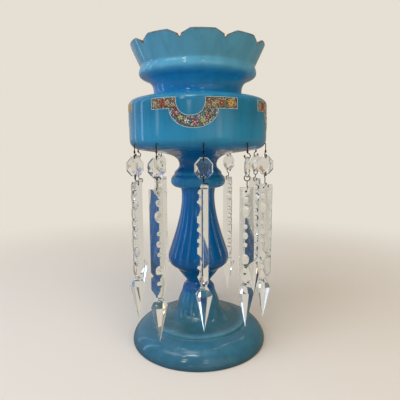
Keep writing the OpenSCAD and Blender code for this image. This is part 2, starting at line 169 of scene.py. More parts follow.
def bow(start, end, leave, reach, steps=24):
    """Points of a cubic curve after its start; the pulls say how far it keeps its direction at each end."""
    a, d = np.array(start, float), np.array(end, float)
    b, c = a + leave, d + reach
    t = np.linspace(0, 1, steps + 1)[1:, None]
    return list((1 - t) ** 3 * a + 3 * t * (1 - t) ** 2 * b + 3 * t * t * (1 - t) * c + t ** 3 * d)


def follow(start, *stretches):
    """Points of an outline: a straight stretch is its end alone, a curved one has two pulls as well."""
    points = [start]
    for end, *pulls in stretches:
        points += bow(points[-1], end, *pulls) if pulls else [end]
    return points


def lengths(p):
    """Distance of each point along a line."""
    return np.concatenate([[0], np.cumsum(np.hypot(*np.diff(p, axis=0).T))])


def at_lengths(p, along, wanted):
    """Points at the wanted distances along a line."""
    return np.column_stack([np.interp(wanted, along, p[:, k]) for k in (0, 1)])


def soften(points, reach=0.8, spacing=0.25, keep=0.008, longest=24, tails=4):
    """Hot glass has no hard creases: rounds a profile's corners, then keeps only the points it needs."""
    p = np.array(points, float)
    along = lengths(p)
    count = int(along[-1] / spacing)
    q = at_lengths(p, along, np.linspace(0, along[-1], count + 1))
    half = int(tails * reach / spacing)
    weight = np.exp(-0.5 * (np.arange(-half, half + 1) * spacing / reach) ** 2)
    weight /= weight.sum()
    padded = np.vstack([2 * q[0] - q[half:0:-1], q, 2 * q[-1] - q[-2:-half - 2:-1]])
    smooth = np.column_stack([np.convolve(padded[:, k], weight, "valid") for k in (0, 1)])
    chosen, start = [0], 0
    while start < count:
        end = start + 1
        while end < count and end - start < longest:
            chord = smooth[end + 1] - smooth[start]
            off = smooth[start:end + 2] - smooth[start]
            if np.abs(off[:, 0] * chord[1] - off[:, 1] * chord[0]).max() > keep * np.hypot(*chord):
                break
            end += 1
        chosen.append(end)
        start = end
    return smooth[chosen]


def foot_profile():
    """Outside of the foot from its ground ring to the waist, and inside of its hollow up to the middle."""
    ring, edge, edge_side, edge_top, flange = (62, 0), (70, 0), (71.05, 0.45), (71.4, 1.4), (71.4, 3)
    step_foot, step_side, step_top = (50.2, 20.0), (50.6, 21.6), (47.2, 23.4)
    bell, collar, waist = (22.2, 41), (17.0, 57), (WAIST_R, STEM_Z)
    hollow_low, hollow_side, hollow_top = (44, 17.4), (16.8, 36), (0, 46)
    outside = follow(
        ring, [edge], [edge_side], [edge_top], [flange], [step_foot, (-0.6, 5.2), (14.5, -1.0)],
        [step_side, (0.3, 0.4), (0.1, -0.6)], [step_top, (-0.1, 0.9), (1.6, -0.2)],
        [bell, (-11, 0.7), (1.6, -12)], [collar, (-1.2, 5.5), (0.5, -5)], [waist, (-0.4, 3.4), (1.2, -3.4)])
    inside = follow(
        ring, [hollow_low, (-3, 8), (11, -2)], [hollow_side, (-11, 2), (2, -12)],
        [hollow_top, (-1, 6), (6, 0)])
    return soften(outside, 0.5), soften(inside, 0.8)


def stem_profile():
    """Baluster from the waist over its saucer and bulb to the shaft."""
    waist, saucer, bulb = (WAIST_R, 0), (22.3, 14.1), (32.1, 27.7)
    shaft, top = (17.1, 92.5), (STEM_TOP_R, 100.5)
    points = follow(
        waist, [saucer, (1.0, 2.1), (-1.7, -3.9)], [bulb, (7.1, 5.4), (0, -8.2)],
        [shaft, (0, 6.1), (0, -27), LONG_CURVE_STEPS], [top, (0, 3), (-0.8, -2)])
    return soften(points, 0.5) + [0, STEM_Z]


def knop_profile():
    """Knop from the stem over its roll and its ledge to the bowl."""
    roll, ledge, ledge_top, seat = (28.3, 7), (24.8, 13.5), (24.5, 15.1), (SEAT_R, 24)
    points = follow(
        (STEM_TOP_R, 0), [roll, (5.7, 0.3), (0, -5)], [ledge, (0, 3), (2, -1.2)], [ledge_top],
        [seat, (-0.6, 3.6), (0, -4.9)])
    return soften(points, 0.45) + [0, KNOP_Z]


def bowl_outside():
    """Outside of the bowl from the knop to the crease under the rim."""
    seat, under, corner = (SEAT_R, BOWL_Z), (35, 200.3), (58, 203.6)
    drum_low, drum_high, shoulder = (DRUM_R, 214.6), (DRUM_R, 246.1), (60.6, 254.1)
    neck, flare, bead = (44.8, 257.6), (51, 272.1), (58.6, 278.1)
    return follow(
        seat, [under, (0.2, 6.3), (-10, -1.6)], [corner], [drum_low, (7, 1.1), (0, -6.6)], [drum_high],
        [shoulder, (0, 4.5), (5.9, -1.2)], [neck], [flare, (-1.3, 4.5), (-6.7, -3)],
        [bead, (5, 2), (0, -3)], [CREASE, (0, 2.8), (0.6, -1.4)])


def bowl_profile():
    """Whole section of the bowl with an uncut rim, from the knop over the lip to the middle of the floor."""
    bead, neck, drum_top, shoulder = (54, 278.1), (40.2, 264.85), (56.6, 250.1), (65.4, 244.1)
    corner, floor_edge, middle = (65.4, 216.6), (57, 207.6), (0, 204.3)
    half = ((RIM[0] + CREASE[0]) / 2, (RIM[1] + CREASE[1]) / 2)
    inner_half = ((INNER_RIM[0] + INNER_CREASE[0]) / 2, half[1])
    inside = follow(
        inner_half, [INNER_CREASE], [bead, (0.6, -1.4), (0, 2.8)], [neck, (0, -4), (0, 5.5)],
        [drum_top, (0, -6), (-8.4, 1.6)], [shoulder, (5.3, -0.6), (0, 4.4)], [corner],
        [floor_edge, (0, -5.5), (5.5, 0.9)], [middle])
    # the lip is ground flat and only just rounded
    lip = [(65.92, 303.72), (66.28, 304.5), (66.12, 304.92), (65.75, 305.1), (65.0, 305.14),
           (64.25, 305.1), (63.7, 304.92), (63.2, 304.5), (62.66, 303.72)]
    return np.vstack([soften(bowl_outside() + [half], 0.8), lip, soften(inside, 0.5)])


def drum_line(low=207, high=253):
    """The painted side of the drum, from its lower corner to its shoulder."""
    points = soften(bowl_outside(), 0.5, keep=0.002)
    return points[(points[:, 1] > low) & (points[:, 1] < high)]


DRUM_LINE = drum_line()


def drum_place(s, z, turn, step=0.3):
    """Point, side, rise and normal on the drum, at s millimetres along it from a motif's middle."""
    r, above, below = (np.interp(h, DRUM_LINE[:, 1], DRUM_LINE[:, 0]) for h in (z, z + step, z - step))
    lean = (above - below) / (2 * step)
    a = turn + s / DRUM_R
    out = np.stack([np.sin(a), -np.cos(a), np.zeros_like(a)], -1)
    side = np.stack([np.cos(a), np.sin(a), np.zeros_like(a)], -1)
    up = np.zeros_like(out)
    up[..., 2] = 1
    size = np.sqrt(1 + lean * lean)[..., None]
    rise = (out * lean[..., None] + up) / size
    normal = (out - up * lean[..., None]) / size
    return out * r[..., None] + up * z[..., None], side, rise, normal


# Meshes


def show(name, data):
    """New object in the scene."""
    made = bpy.data.objects.new(name, data)
    bpy.context.scene.collection.objects.link(made)
    return made


def new_piece(name, vertices, faces, smooth=True, scale=MM):
    mesh = bpy.data.meshes.new(name)
    mesh.from_pydata((np.asarray(vertices, float) * scale).tolist(), [], [list(map(int, f)) for f in faces])
    mesh.update()
    if smooth:
        mesh.shade_smooth()
    else:
        mesh.shade_flat()
    return show(name, mesh)


def place(piece, material, body, replaces=None):
    """Gives a piece its material and the body it rides on and the node it stands for."""
    piece.data.materials.clear()
    piece.data.materials.append(material)
    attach(piece, body)
    if replaces:
        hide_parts(replaces)


def round_turns(sides):
    """Even angles round a circle."""
    return np.arange(sides) * FULL_TURN / sides


def grid_faces(columns, rows):
    """Quads of a closed grid whose points go row by row up each column."""
    faces = []
    for c in range(columns):
        here, there = c * rows, (c + 1) % columns * rows
        faces += [(here + k, there + k, there + k + 1, here + k + 1) for k in range(rows - 1)]
    return faces


def lathe(profile, columns, axis_gap=0.01):
    """Turned skin of a profile and its end discs, with points of their own so that joints stay crisp."""
    p = np.asarray(profile, float)
    a = round_turns(columns)
    v = np.stack([p[None, :, 0] * np.cos(a)[:, None], p[None, :, 0] * np.sin(a)[:, None],
                  np.repeat(p[None, :, 1], columns, 0)], -1).reshape(-1, 3).tolist()
    faces = grid_faces(columns, len(p))
    for end, turn in ((0, -1), (len(p) - 1, 1)):
        if p[end, 0] > axis_gap:
            first = len(v)
            v += [[p[end, 0] * math.cos(b), p[end, 0] * math.sin(b), p[end, 1]] for b in a]
            faces.append([first + k for k in range(columns)][::turn])
    return v, faces


def cap(sides, rings, whole):
    """Unit ball from its top down so many rings, of the whole number from pole to pole: points and faces."""
    v = [(0, 0, 1)]
    for k in range(1, rings + 1):
        lat = k / whole * math.pi
        v += [(math.sin(lat) * math.cos(b), math.sin(lat) * math.sin(b), math.cos(lat))
              for b in round_turns(sides)]
    faces = [(0, 1 + k, 1 + (k + 1) % sides) for k in range(sides)]
    for r in range(rings - 1):
        a, b = 1 + r * sides, 1 + (r + 1) * sides
        faces += [(a + k, b + k, b + (k + 1) % sides, a + (k + 1) % sides) for k in range(sides)]
    return np.array(v), faces


def ball(centre, radius, sides=12, rings=8):
    """Round head of a pin."""
    v, faces = cap(sides, rings - 1, rings)
    last, a = len(v), 1 + (rings - 2) * sides
    faces += [(last, a + (k + 1) % sides, a + k) for k in range(sides)]
    return centre + radius * np.vstack([v, (0, 0, -1)]), faces


def tube(path, radius, sides=10, aside=(0.31, 0.95, 0.11)):
    """Round wire along a path, with closed ends. The direction aside is one that no path starts along."""
    p = np.array(path, float)
    ahead = np.gradient(p, axis=0)
    ahead /= np.linalg.norm(ahead, axis=1)[:, None]
    across = np.cross(ahead[0], aside)
    v, faces, n = [], [], len(p)
    for k in range(n):
        across = across - ahead[k] * (across @ ahead[k])
        across /= np.linalg.norm(across)
        third = np.cross(ahead[k], across)
        v += [p[k] + radius * (math.cos(b) * across + math.sin(b) * third) for b in round_turns(sides)]
    for k in range(n - 1):
        a, b = k * sides, (k + 1) * sides
        faces += [(a + j, a + (j + 1) % sides, b + (j + 1) % sides, b + j) for j in range(sides)]
    faces += [list(range(sides))[::-1], list(range((n - 1) * sides, n * sides))]
    return v, faces


def joined(parts):
    """One list of points and faces from several."""
    v, faces = [], []
    for points, around in parts:
        faces += [[i + len(v) for i in f] for f in around]
        v += [list(p) for p in points]
    return v, faces


# Materials


def rgba(colour):
    return (*colour[:3], 1.0)


def node(tree, kind, settings=None, values=None, links=None, stops=None):
    """Adds a node with its settings, input values, links and a ramp's stops. A link comes from an output, or
    from a node, which then gives its first output in use."""
    made = tree.nodes.new("ShaderNode" + kind)
    for key, value in (settings or {}).items():
        setattr(made, key, value)
    for key, value in (values or {}).items():
        made.inputs[key].default_value = value
    for key, source in (links or {}).items():
        if isinstance(source, bpy.types.Node):
            source = next(output for output in source.outputs if output.enabled)
        tree.links.new(source, made.inputs[key])
    if stops:
        elements = made.color_ramp.elements
        while len(elements) < len(stops):
            elements.new(0.5)
        for element, (position, colour) in zip(elements, stops):
            element.position = position
            element.color = rgba(colour)
    return made


def new_material(name):
    """Empty material, its tree, and the place on the object in metres."""
    material = bpy.data.materials.new(name)
    material.use_nodes = True
    tree = material.node_tree
    tree.nodes.clear()
    return material, tree, node(tree, "TexCoord").outputs["Object"]


# Lowest and highest roughness of the fire-polished glass, and of the foot, whose gloss is softer
POLISHED = (0.035, 0.11)
SOFT_GLOSS = (0.09, 0.16)


def opaline_glass(name, bands, low, high, gloss=POLISHED, gold=None):
    """Opaline soda glass, blown and fire-polished: a wet, slightly wavy gloss over milky colour that
    lets a little light in at thin edges. The bands give its blue from the lowest to the highest point."""
    material, tree, where = new_material(name)
    height = node(tree, "SeparateXYZ", links={"Vector": where}).outputs["Z"]
    share = node(tree, "MapRange", values={"From Min": low * MM, "From Max": high * MM},
                 links={"Value": height})
    tint = node(tree, "ValToRGB", links={"Fac": share}, stops=bands)
    # milky cords drawn out by the blowing, about 9 mm across and several times as long
    stretched = node(tree, "Mapping", values={"Scale": (1.0, 1.0, 0.22)}, links={"Vector": where})
    cords = node(tree, "TexNoise", values={
        "Scale": 1 / (9 * MM), "Detail": 3.0, "Roughness": 0.5, "Distortion": 0.6},
        links={"Vector": stretched})
    cloud = node(tree, "MapRange", values={
        "From Min": 0.3, "From Max": 0.7, "To Min": 0.90, "To Max": 1.10}, links={"Value": cords})
    colour = node(tree, "HueSaturation", links={"Color": tint, "Value": cloud})
    # seeds, the small bubbles left in the glass, about 2.6 mm apart
    seeds = node(tree, "TexVoronoi", {"feature": "F1"}, {
        "Scale": 1 / (2.6 * MM), "Randomness": 1.0}, {"Vector": where})
    specks = node(tree, "MapRange", values={
        "From Min": 0.03, "From Max": 0.11, "To Min": 0.12, "To Max": 0.0}, links={"Value": seeds})
    colour = node(tree, "Mix", {"data_type": "RGBA"}, {"B": rgba(linear("#bfe0ea"))}, {
        "Factor": specks, "A": colour})
    if gold is not None:
        colour = worn_gold(tree, where, colour, *gold)
    # the blown surface rises and falls in waves of about 22 mm, and its gloss is uneven over about 30 mm
    wave = node(tree, "TexNoise", values={"Scale": 1 / (22 * MM), "Detail": 2.0}, links={"Vector": where})
    bump = node(tree, "Bump", values={"Strength": 0.04, "Distance": 1.2 * MM}, links={"Height": wave})
    smear = node(tree, "TexNoise", values={"Scale": 1 / (30 * MM), "Detail": 4.0},
                 links={"Vector": where})
    rough = node(tree, "MapRange", values={
        "From Min": 0.35, "From Max": 0.7, "To Min": gloss[0], "To Max": gloss[1]}, links={"Value": smear})
    shader = node(tree, "BsdfPrincipled", values={
        "IOR": 1.5, "Subsurface Weight": 0.2, "Subsurface Radius": (0.35, 0.7, 1.0),
        "Subsurface Scale": 3 * MM}, links={
        "Base Color": colour, "Roughness": rough, "Normal": bump})
    node(tree, "OutputMaterial", links={"Surface": shader})
    return material


def worn_gold(tree, where, glass, gilt, width):
    """What is left of fired gold: a thin line on the lip, rubbed away in places and brown in the notches."""
    lip = node(tree, "Attribute", {"attribute_name": "from_lip"}).outputs["Fac"]
    notch = node(tree, "Attribute", {"attribute_name": "in_notch"}).outputs["Fac"]
    rubbed = node(tree, "TexNoise", values={"Scale": 1 / (3.5 * MM), "Detail": 4.0},
                  links={"Vector": where})
    uneven = node(tree, "Math", {"operation": "MULTIPLY_ADD"}, {1: 2.2, 2: -0.6}, {0: rubbed})
    wide = node(tree, "Math", {"operation": "MULTIPLY_ADD"}, {1: 1.3}, {0: notch, 2: uneven})
    near = node(tree, "MapRange", values={
        "From Min": width, "From Max": 0.45 * width, "To Min": 0.0, "To Max": 1.0}, links={"Value": lip})
    mask = node(tree, "Math", {"operation": "MULTIPLY", "use_clamp": True}, links={0: near, 1: wide})
    return node(tree, "Mix", {"data_type": "RGBA"}, {"B": rgba(gilt)}, {"Factor": mask, "A": glass})


def lead_crystal(tint):
    """Lead crystal, cut and polished: water-clear, heavy refraction, sharp bright facets."""
    material, tree, where = new_material("cut_lead_crystal")
    haze = node(tree, "TexNoise", values={"Scale": 1 / (4 * MM), "Detail": 3.0}, links={"Vector": where})
    rough = node(tree, "MapRange", values={
        "From Min": 0.45, "From Max": 0.75, "To Min": 0.0, "To Max": 0.05}, links={"Value": haze})
    cut = node(tree, "BsdfPrincipled", values={
        "Base Color": rgba(tint), "IOR": 1.54, "Transmission Weight": 1.0},
        links={"Roughness": rough})
    # painted light: a ray that has bounced more than five times inside the cut glass ends on a pale glow
    # instead of going dark
    depth = node(tree, "LightPath").outputs["Ray Depth"]
    late = node(tree, "Math", {"operation": "GREATER_THAN"}, {1: 5.5}, {0: depth})
    pale = node(tree, "Emission", values={"Color": rgba(linear("#d9d4c9")), "Strength": 0.7})
    mixed = node(tree, "MixShader", links={"Fac": late, 1: cut, 2: pale})
    node(tree, "OutputMaterial", links={"Surface": mixed})
    return material


def tarnished_brass(tint):
    """Drawn brass wire, long tarnished: dark brown, half dull, with rubbed spots that still shine."""
    material, tree, where = new_material("tarnished_brass_wire")
    spots = node(tree, "TexNoise", values={"Scale": 1 / (1.6 * MM), "Detail": 5.0},
                 links={"Vector": where})
    colour = node(tree, "ValToRGB", links={"Fac": spots}, stops=[
        (0.35, linear("#1d1712")), (0.55, tint), (0.75, linear("#7d6440"))])
    rough = node(tree, "MapRange", values={
        "From Min": 0.3, "From Max": 0.7, "To Min": 0.6, "To Max": 0.35}, links={"Value": spots})
    bump = node(tree, "Bump", values={"Strength": 0.3, "Distance": 0.05 * MM}, links={"Height": spots})
    shader = node(tree, "BsdfPrincipled", values={"Metallic": 0.85}, links={
        "Base Color": colour, "Roughness": rough, "Normal": bump})
    node(tree, "OutputMaterial", links={"Surface": shader})
    return material


def vitreous_enamel(name, tint):
    """Fired glass enamel, laid on thick with a brush: saturated, softly glossy, streaked by the bristles."""
    material, tree, where = new_material(name)
    strokes = node(tree, "TexNoise", values={"Scale": 1 / (1.1 * MM), "Detail": 3.0},
                   links={"Vector": where})
    darker = tuple(c * 0.56 for c in tint)
    lighter = tuple(min(1.0, c * 1.2 + 0.02) for c in tint)
    colour = node(tree, "ValToRGB", links={"Fac": strokes}, stops=[
        (0.32, darker), (0.52, tint), (0.72, lighter)])
    bump = node(tree, "Bump", values={"Strength": 0.4, "Distance": 0.08 * MM}, links={"Height": strokes})
    shader = node(tree, "BsdfPrincipled", values={"IOR": 1.5, "Roughness": 0.22}, links={
        "Base Color": colour, "Normal": bump})
    node(tree, "OutputMaterial", links={"Surface": shader})
    return material


def mosaic_ground(tint, edge, blend=0.8 * MM):
    """Enamel ground under the flowers, dabbed on in touches of about 0.75 mm: deep blue and green in the
    swag, and a mosaic of cream, brown and dark in the bars above its edge."""
    material, tree, where = new_material("enamel_ground")
    cells = node(tree, "TexVoronoi", {"feature": "F1"}, {"Scale": 1 / (0.75 * MM)}, {"Vector": where})
    pick = node(tree, "SeparateColor", links={"Color": cells.outputs["Color"]})
    bars = node(tree, "ValToRGB", links={"Fac": pick}, stops=[
        (0.0, linear("#241f1b")), (0.42, linear("#8d8268")), (0.56, linear("#5d3f2a")),
        (0.76, linear("#2c2620")), (0.88, linear("#2f4a63"))])
    swag = node(tree, "ValToRGB", links={"Fac": pick}, stops=[
        (0.0, tint), (0.45, linear("#1f5378")), (0.7, linear("#2f6a5c")), (0.86, linear("#8a9a90"))])
    for dabs in (bars, swag):
        dabs.color_ramp.interpolation = "CONSTANT"
    height = node(tree, "SeparateXYZ", links={"Vector": where}).outputs["Z"]
    upper = node(tree, "MapRange", values={"From Min": edge - blend, "From Max": edge + blend},
                 links={"Value": height})
    colour = node(tree, "Mix", {"data_type": "RGBA"}, links={"Factor": upper, "A": swag, "B": bars})
    bump = node(tree, "Bump", values={"Strength": 0.5, "Distance": 0.1 * MM}, links={"Height": cells})
    shader = node(tree, "BsdfPrincipled", values={"IOR": 1.5, "Roughness": 0.3}, links={
        "Base Color": colour, "Normal": bump})
    node(tree, "OutputMaterial", links={"Surface": shader})
    return material


# Operators: the blown glass

# Tones from the lowest to the highest point of foot, stem and knop, at shares of the height: a number is a
# share of the piece's own blue, and a text is another colour. The foot darkens towards the table as painted
# shade at its lower edge, and its two thin pale lines at the step are painted highlights on the step's
# rolled edges.
FOOT_TONES = [(0.0, 0.55), (0.13, 0.84), (0.22, 1.0), (0.308, 1.0), (0.316, "#5f98ab"), (0.326, "#3d7488"),
              (0.35, "#3d7488"), (0.357, "#5a92a5"), (0.361, "#4f869a"), (0.37, "#386672"),
              (0.66, "#32708c"), (0.82, "#2a6f96"), (0.87, "#115e99"), (1.0, "#0f5c98")]
STEM_TONES = [(0.0, "#11619f"), (0.12, 0.8), (0.45, 1.0), (1.0, "#0a67a8")]
KNOP_TONES = [(0.0, "#0f649f"), (0.3, 1.0), (0.65, "#1b76aa"), (1.0, "#0f609c")]

# Tones of the bowl by height in millimetres: which blue, and its share. The drum deepens in its upper half.
# The underside's deep blue is painted shade under the drum. The bead's lower half keeps the neck's darker
# blue as painted shade under the bead, and the bead's pale blue is partly painted highlight from above.
BOWL_TONES = [(189, "under", 1.0), (203, "under", 1.0), (213, "drum", 1.0), (218, "drum", 1.03),
              (224, "drum", 0.98), (230, "drum", 0.88), (237, "drum", 0.77), (247, "drum", 0.78),
              (252, "drum", 0.85), (258, "neck", 1.0), (272, "neck", 1.0), (278.5, "bead", 1.0),
              (283, "bead", 1.0), (287, "rim", 1.0), (305, "rim", 1.0)]

FOOT_COLUMNS = 256
STEM_COLUMNS = 192


def shade(colour, share):
    return tuple(c * share for c in colour)


def turn_glass(part, section, columns, tones, blue, low, high, gloss=POLISHED):
    """Turned piece of opaline glass that stands for a node of the same name."""
    bands = [(at, linear(tone) if isinstance(tone, str) else shade(blue, tone)) for at, tone in tones]
    piece = new_piece("glass_" + part, *lathe(section, columns))
    place(piece, opaline_glass("opaline_glass_" + part, bands, low, high, gloss), VASE, part)


class LUSTRE_OT_foot(bpy.types.Operator):
    """Turns the domed foot, hollow underneath, on its ground ring"""
    bl_idname = "lustre.foot"
    bl_label = "Foot"

    def execute(self, context):
        outside, inside = foot_profile()
        section = np.vstack([inside[::-1], outside[1:]])
        blue = context.scene.lustre_glass.foot_blue
        turn_glass("foot", section, FOOT_COLUMNS, FOOT_TONES, blue, 0, STEM_Z, SOFT_GLOSS)
        return {"FINISHED"}


class LUSTRE_OT_stem(bpy.types.Operator):
    """Turns the baluster stem with its small saucer"""
    bl_idname = "lustre.stem"
    bl_label = "Stem"

    def execute(self, context):
        blue = context.scene.lustre_glass.stem_blue
        turn_glass("stem", stem_profile(), STEM_COLUMNS, STEM_TONES, blue, STEM_Z, KNOP_Z)
        return {"FINISHED"}


class LUSTRE_OT_knop(bpy.types.Operator):
    """Turns the knop between stem and bowl"""
    bl_idname = "lustre.knop"
    bl_label = "Knop"

    def execute(self, context):
        blue = context.scene.lustre_glass.knop_blue
        turn_glass("knop", knop_profile(), STEM_COLUMNS, KNOP_TONES, blue, KNOP_Z, BOWL_Z)
        return {"FINISHED"}


SCALLOPS = 10
HALF_PITCH = math.pi / SCALLOPS
NOTCH_TURN = math.radians(22.3 - 90)
SCALLOP_DEPTH = 4.4
NOTCH_R = 1.4
SCALLOP_TOP = 21.0
# Radius at which the scallops are measured along the lip
LIP_R = 65.5
# Height above the crease from which the cuts draw the glass down
CUT_START = 0.6
# Distance of the gold's edge from the lip's highest point, and width of the brown beside a notch
GOLD_START = 1.3
BROWN_WIDTH = 2.2


def rim_drop(y):
    """How far the lip lies below the scallops' tops, at a distance y along the rim from a notch's middle."""
    half = (2 * RIM[0] * math.sin(HALF_PITCH) - SCALLOP_TOP) / 2
    cut = np.maximum(0, SCALLOP_DEPTH * (1 - np.abs(y) / half))
    notch = np.where(np.abs(y) < NOTCH_R, SCALLOP_DEPTH + np.sqrt(np.maximum(0, NOTCH_R ** 2 - y * y)), 0)
    return np.maximum(cut, notch)


def rounded_drop(gap, steps=1201, blur=7.0, tail=30):
    """The lip's drop at angles from a notch's middle, with the edges of the cuts rubbed round."""
    fine = np.linspace(-HALF_PITCH, HALF_PITCH, steps)
    weight = np.exp(-0.5 * (np.arange(-tail, tail + 1) / blur) ** 2)
    padded = np.pad(rim_drop(LIP_R * np.sin(fine)), tail, mode="edge")
    return np.interp(gap, fine, np.convolve(padded, weight / weight.sum(), "valid"))


def notch_columns(close=0.035, near=0.135):
    """Angles of the bowl's columns from a notch: close together in it and wide on the scallop's top."""
    gap = np.concatenate([np.linspace(0, close, 15), np.linspace(close, near, 16)[1:],
                          np.linspace(near, HALF_PITCH, 12)[1:]])
    return np.concatenate([-gap[:0:-1], gap[:-1]])


class LUSTRE_OT_bowl(bpy.types.Operator):
    """Turns the bowl and cuts its rim into scallops, with the worn gold line on the lip"""
    bl_idname = "lustre.bowl"
    bl_label = "Bowl"

    def execute(self, context):
        glass = context.scene.lustre_glass
        p = bowl_profile()
        rows, lip = len(p), int(np.argmax(p[:, 1]))
        height = RIM[1] - CREASE[1]
        on_rim = np.clip((p[:, 1] - CREASE[1] - CUT_START) / (height - CUT_START), 0, None)
        outer_slope = (RIM[0] - CREASE[0]) / height
        inner_slope = (INNER_RIM[0] - INNER_CREASE[0]) / height
        slope = np.where(np.arange(rows) < lip, outer_slope, inner_slope)
        edge = np.maximum(0, np.hypot(p[:, 0] - p[lip, 0], p[:, 1] - p[lip, 1]) - GOLD_START)
        gap = notch_columns()
        columns, from_lip, in_notch = [], [], []
        for k in range(SCALLOPS):
            for a, low in zip(gap, rounded_drop(gap)):
                down = on_rim * low
                r = p[:, 0] - slope * down
                turn = NOTCH_TURN + 2 * HALF_PITCH * k + a
                columns.append(np.column_stack([r * math.cos(turn), r * math.sin(turn), p[:, 1] - down]))
                from_lip.append(edge)
                in_notch.append(np.full(rows, math.exp(-(LIP_R * a / BROWN_WIDTH) ** 2)))
        piece = new_piece("glass_bowl", np.vstack(columns), grid_faces(len(columns), rows))
        for name, values, scale in (("from_lip", from_lip, MM), ("in_notch", in_notch, 1.0)):
            data = piece.data.attributes.new(name, "FLOAT", "POINT")
            data.data.foreach_set("value", (np.concatenate(values) * scale).astype(np.float32))
        self.close_ends(piece, len(columns), rows)
        bands = [((z - BOWL_Z) / (RIM[1] - BOWL_Z), shade(getattr(glass, blue + "_blue"), share))
                 for z, blue, share in BOWL_TONES]
        gold = (tuple(glass.gilt), glass.gilt_width)
        place(piece, opaline_glass("opaline_glass_bowl", bands, BOWL_Z, RIM[1], gold=gold), VASE,
              "bowl")
        return {"FINISHED"}

    def close_ends(self, piece, count, rows):
        """Joins the floor's middle to one point and closes the seat under the bowl."""
        work = bmesh.new()
        work.from_mesh(piece.data)
        work.verts.ensure_lookup_table()
        middle = [work.verts[c * rows + rows - 1] for c in range(count)]
        seat = [work.verts[c * rows] for c in range(count)]
        bmesh.ops.pointmerge(work, verts=middle, merge_co=Vector((0, 0, middle[0].co.z)))
        work.faces.new([work.verts.new(corner.co) for corner in seat][::-1])
        bmesh.ops.dissolve_degenerate(work, dist=1e-7, edges=work.edges[:])
        work.to_mesh(piece.data)
        work.free()


# Operators: the painted band

# Degrees by which the painter's eye set each motif off its even place
MOTIF_SHIFT = [0, -2.7, 1.0, -2.4]

# The bouquet of one motif: place along the drum, height, reach, petal colour and heart colour
BOUQUET = [
    (1.2, 227.8, 3.1, "red", "white"), (-5.6, 228.4, 2.2, "white", "red"),
    (8.4, 229.2, 2.1, "yellow", "green"), (-11.2, 231.4, 2.3, "yellow", "orange"),
    (12.4, 232.8, 2.8, "red", "yellow"), (-15.2, 236.4, 2.8, "red", "white"),
    (16.2, 237.6, 1.3, "straw", "red"), (-18.2, 242.6, 2.0, "straw", "rust"),
    (17.6, 242.8, 2.1, "straw", "red"), (13.2, 244.4, 1.6, "rust", "straw"),
    (-1.4, 225.2, 1.2, "white", "white"), (-28.8, 244.0, 3.5, "rust", "red"),
    (-35.4, 243.8, 2.6, "straw", "rust"), (-22.6, 244.4, 2.3, "straw", "red"),
    (32.6, 244.4, 3.4, "yellow", "orange"), (24.8, 243.8, 2.7, "rust", "straw"),
    (37.4, 243.4, 1.4, "straw", "orange"), (20.4, 244.4, 2.0, "straw", "green"),
]
PAINTS = ["red", "orange", "yellow", "white", "green", "rust", "straw"]
BAR_LEAVES = ["straw", "straw", "rust", "green"]
SWAG_LEAVES = ["green", "green", "red", "white", "straw"]
DOTS = ["straw", "green", "rust", "yellow", "red"]

# Two rings of strokes of a flower in the bars: count, reach, half length and half width as shares of the
# flower's size, and the colour if it isn't the petals' own
RAY_RINGS = [(9, 0.58, 0.36, 0.15, None), (14, 1.08, 0.22, 0.07, "straw")]

# Heights of the enamel above the glass, in millimetres
OUTLINE_LIFT = 0.3
GROUND_LIFT = 0.09
TOUCH_BASE = 0.06
PETAL_LIFT = 0.30
LIGHT_LIFT = 0.42
HEART_LIFT = 0.45
LEAF_LIFT = 0.22
STROKE_LIFT = 0.24

# Section of the outline, as shares of its width and of its lift
CORD_SECTION = [(-0.5, -0.05), (-0.4, 0.55), (-0.15, 0.95), (0.15, 0.95), (0.4, 0.55), (0.5, -0.05)]

# Room that a leaf and a dot keep round them, their distance from the outline, and how often a place is tried
LEAF_ROOM, LEAF_MARGIN = 0.62, 0.95
DOT_ROOM, DOT_MARGIN = 0.34, 0.75
RAY_MARGIN = 0.6
TRIES = 2600


def motif_loop(e, steps=40, squareness=2.4):
    """Outline of one motif as one closed line, in millimetres along the drum and above the table."""
    half, low, high = e.half_width / MM, e.bar_low / MM, e.bar_high / MM
    out, deep, inn, opened = e.swag_out / MM, e.swag_low / MM, e.swag_in / MM, e.swag_open / MM
    t = np.linspace(0, math.pi, steps)
    power = 2 / squareness
    left = e.swag_shift / MM
    inside = [(-left - inn * math.copysign(abs(math.cos(b)) ** power, math.cos(b)),
               high - opened * math.sin(b) ** power) for b in t]
    outside = [(out * math.cos(b), low - deep * math.sin(b)) for b in t]
    return [(-half, high)] + inside + [(half, high), (half, low)] + outside + [(-half, low)]


def even_loop(loop, spacing=0.5):
    """Even points along a closed line."""
    p = np.array(loop + loop[:1], float)
    along = lengths(p)
    return at_lengths(p, along, np.linspace(0, along[-1], int(along[-1] / spacing), endpoint=False))


def inside_loop(loop, points):
    """Even-odd test of points against a closed line."""
    a, b = np.array(loop), np.roll(np.array(loop), -1, axis=0)
    x, y = points[:, 0][:, None], points[:, 1][:, None]
    crosses = (a[:, 1] > y) != (b[:, 1] > y)
    rise = np.where(a[:, 1] == b[:, 1], 1e-9, b[:, 1] - a[:, 1])
    at = a[:, 0] + (y - a[:, 1]) * (b[:, 0] - a[:, 0]) / rise
    return (crosses & (x < at)).sum(1) % 2 == 1


def scatter(rng, loop, edge, room, taken, margin):
    """Seeded places inside the loop that keep their distance from the outline and from each other."""
    low, high = np.min(loop, 0), np.max(loop, 0)
    found = []
    for _ in range(TRIES):
        spot = np.array([rng.uniform(low[0], high[0]), rng.uniform(low[1], high[1])])
        if np.hypot(*(edge - spot).T).min() < margin:
            continue
        if any(math.hypot(spot[0] - q[0], spot[1] - q[1]) < room + q[2] for q in taken):
            continue
        if inside_loop(loop, spot[None])[0]:
            taken.append((spot[0], spot[1], room))
            found.append(spot)
    return found


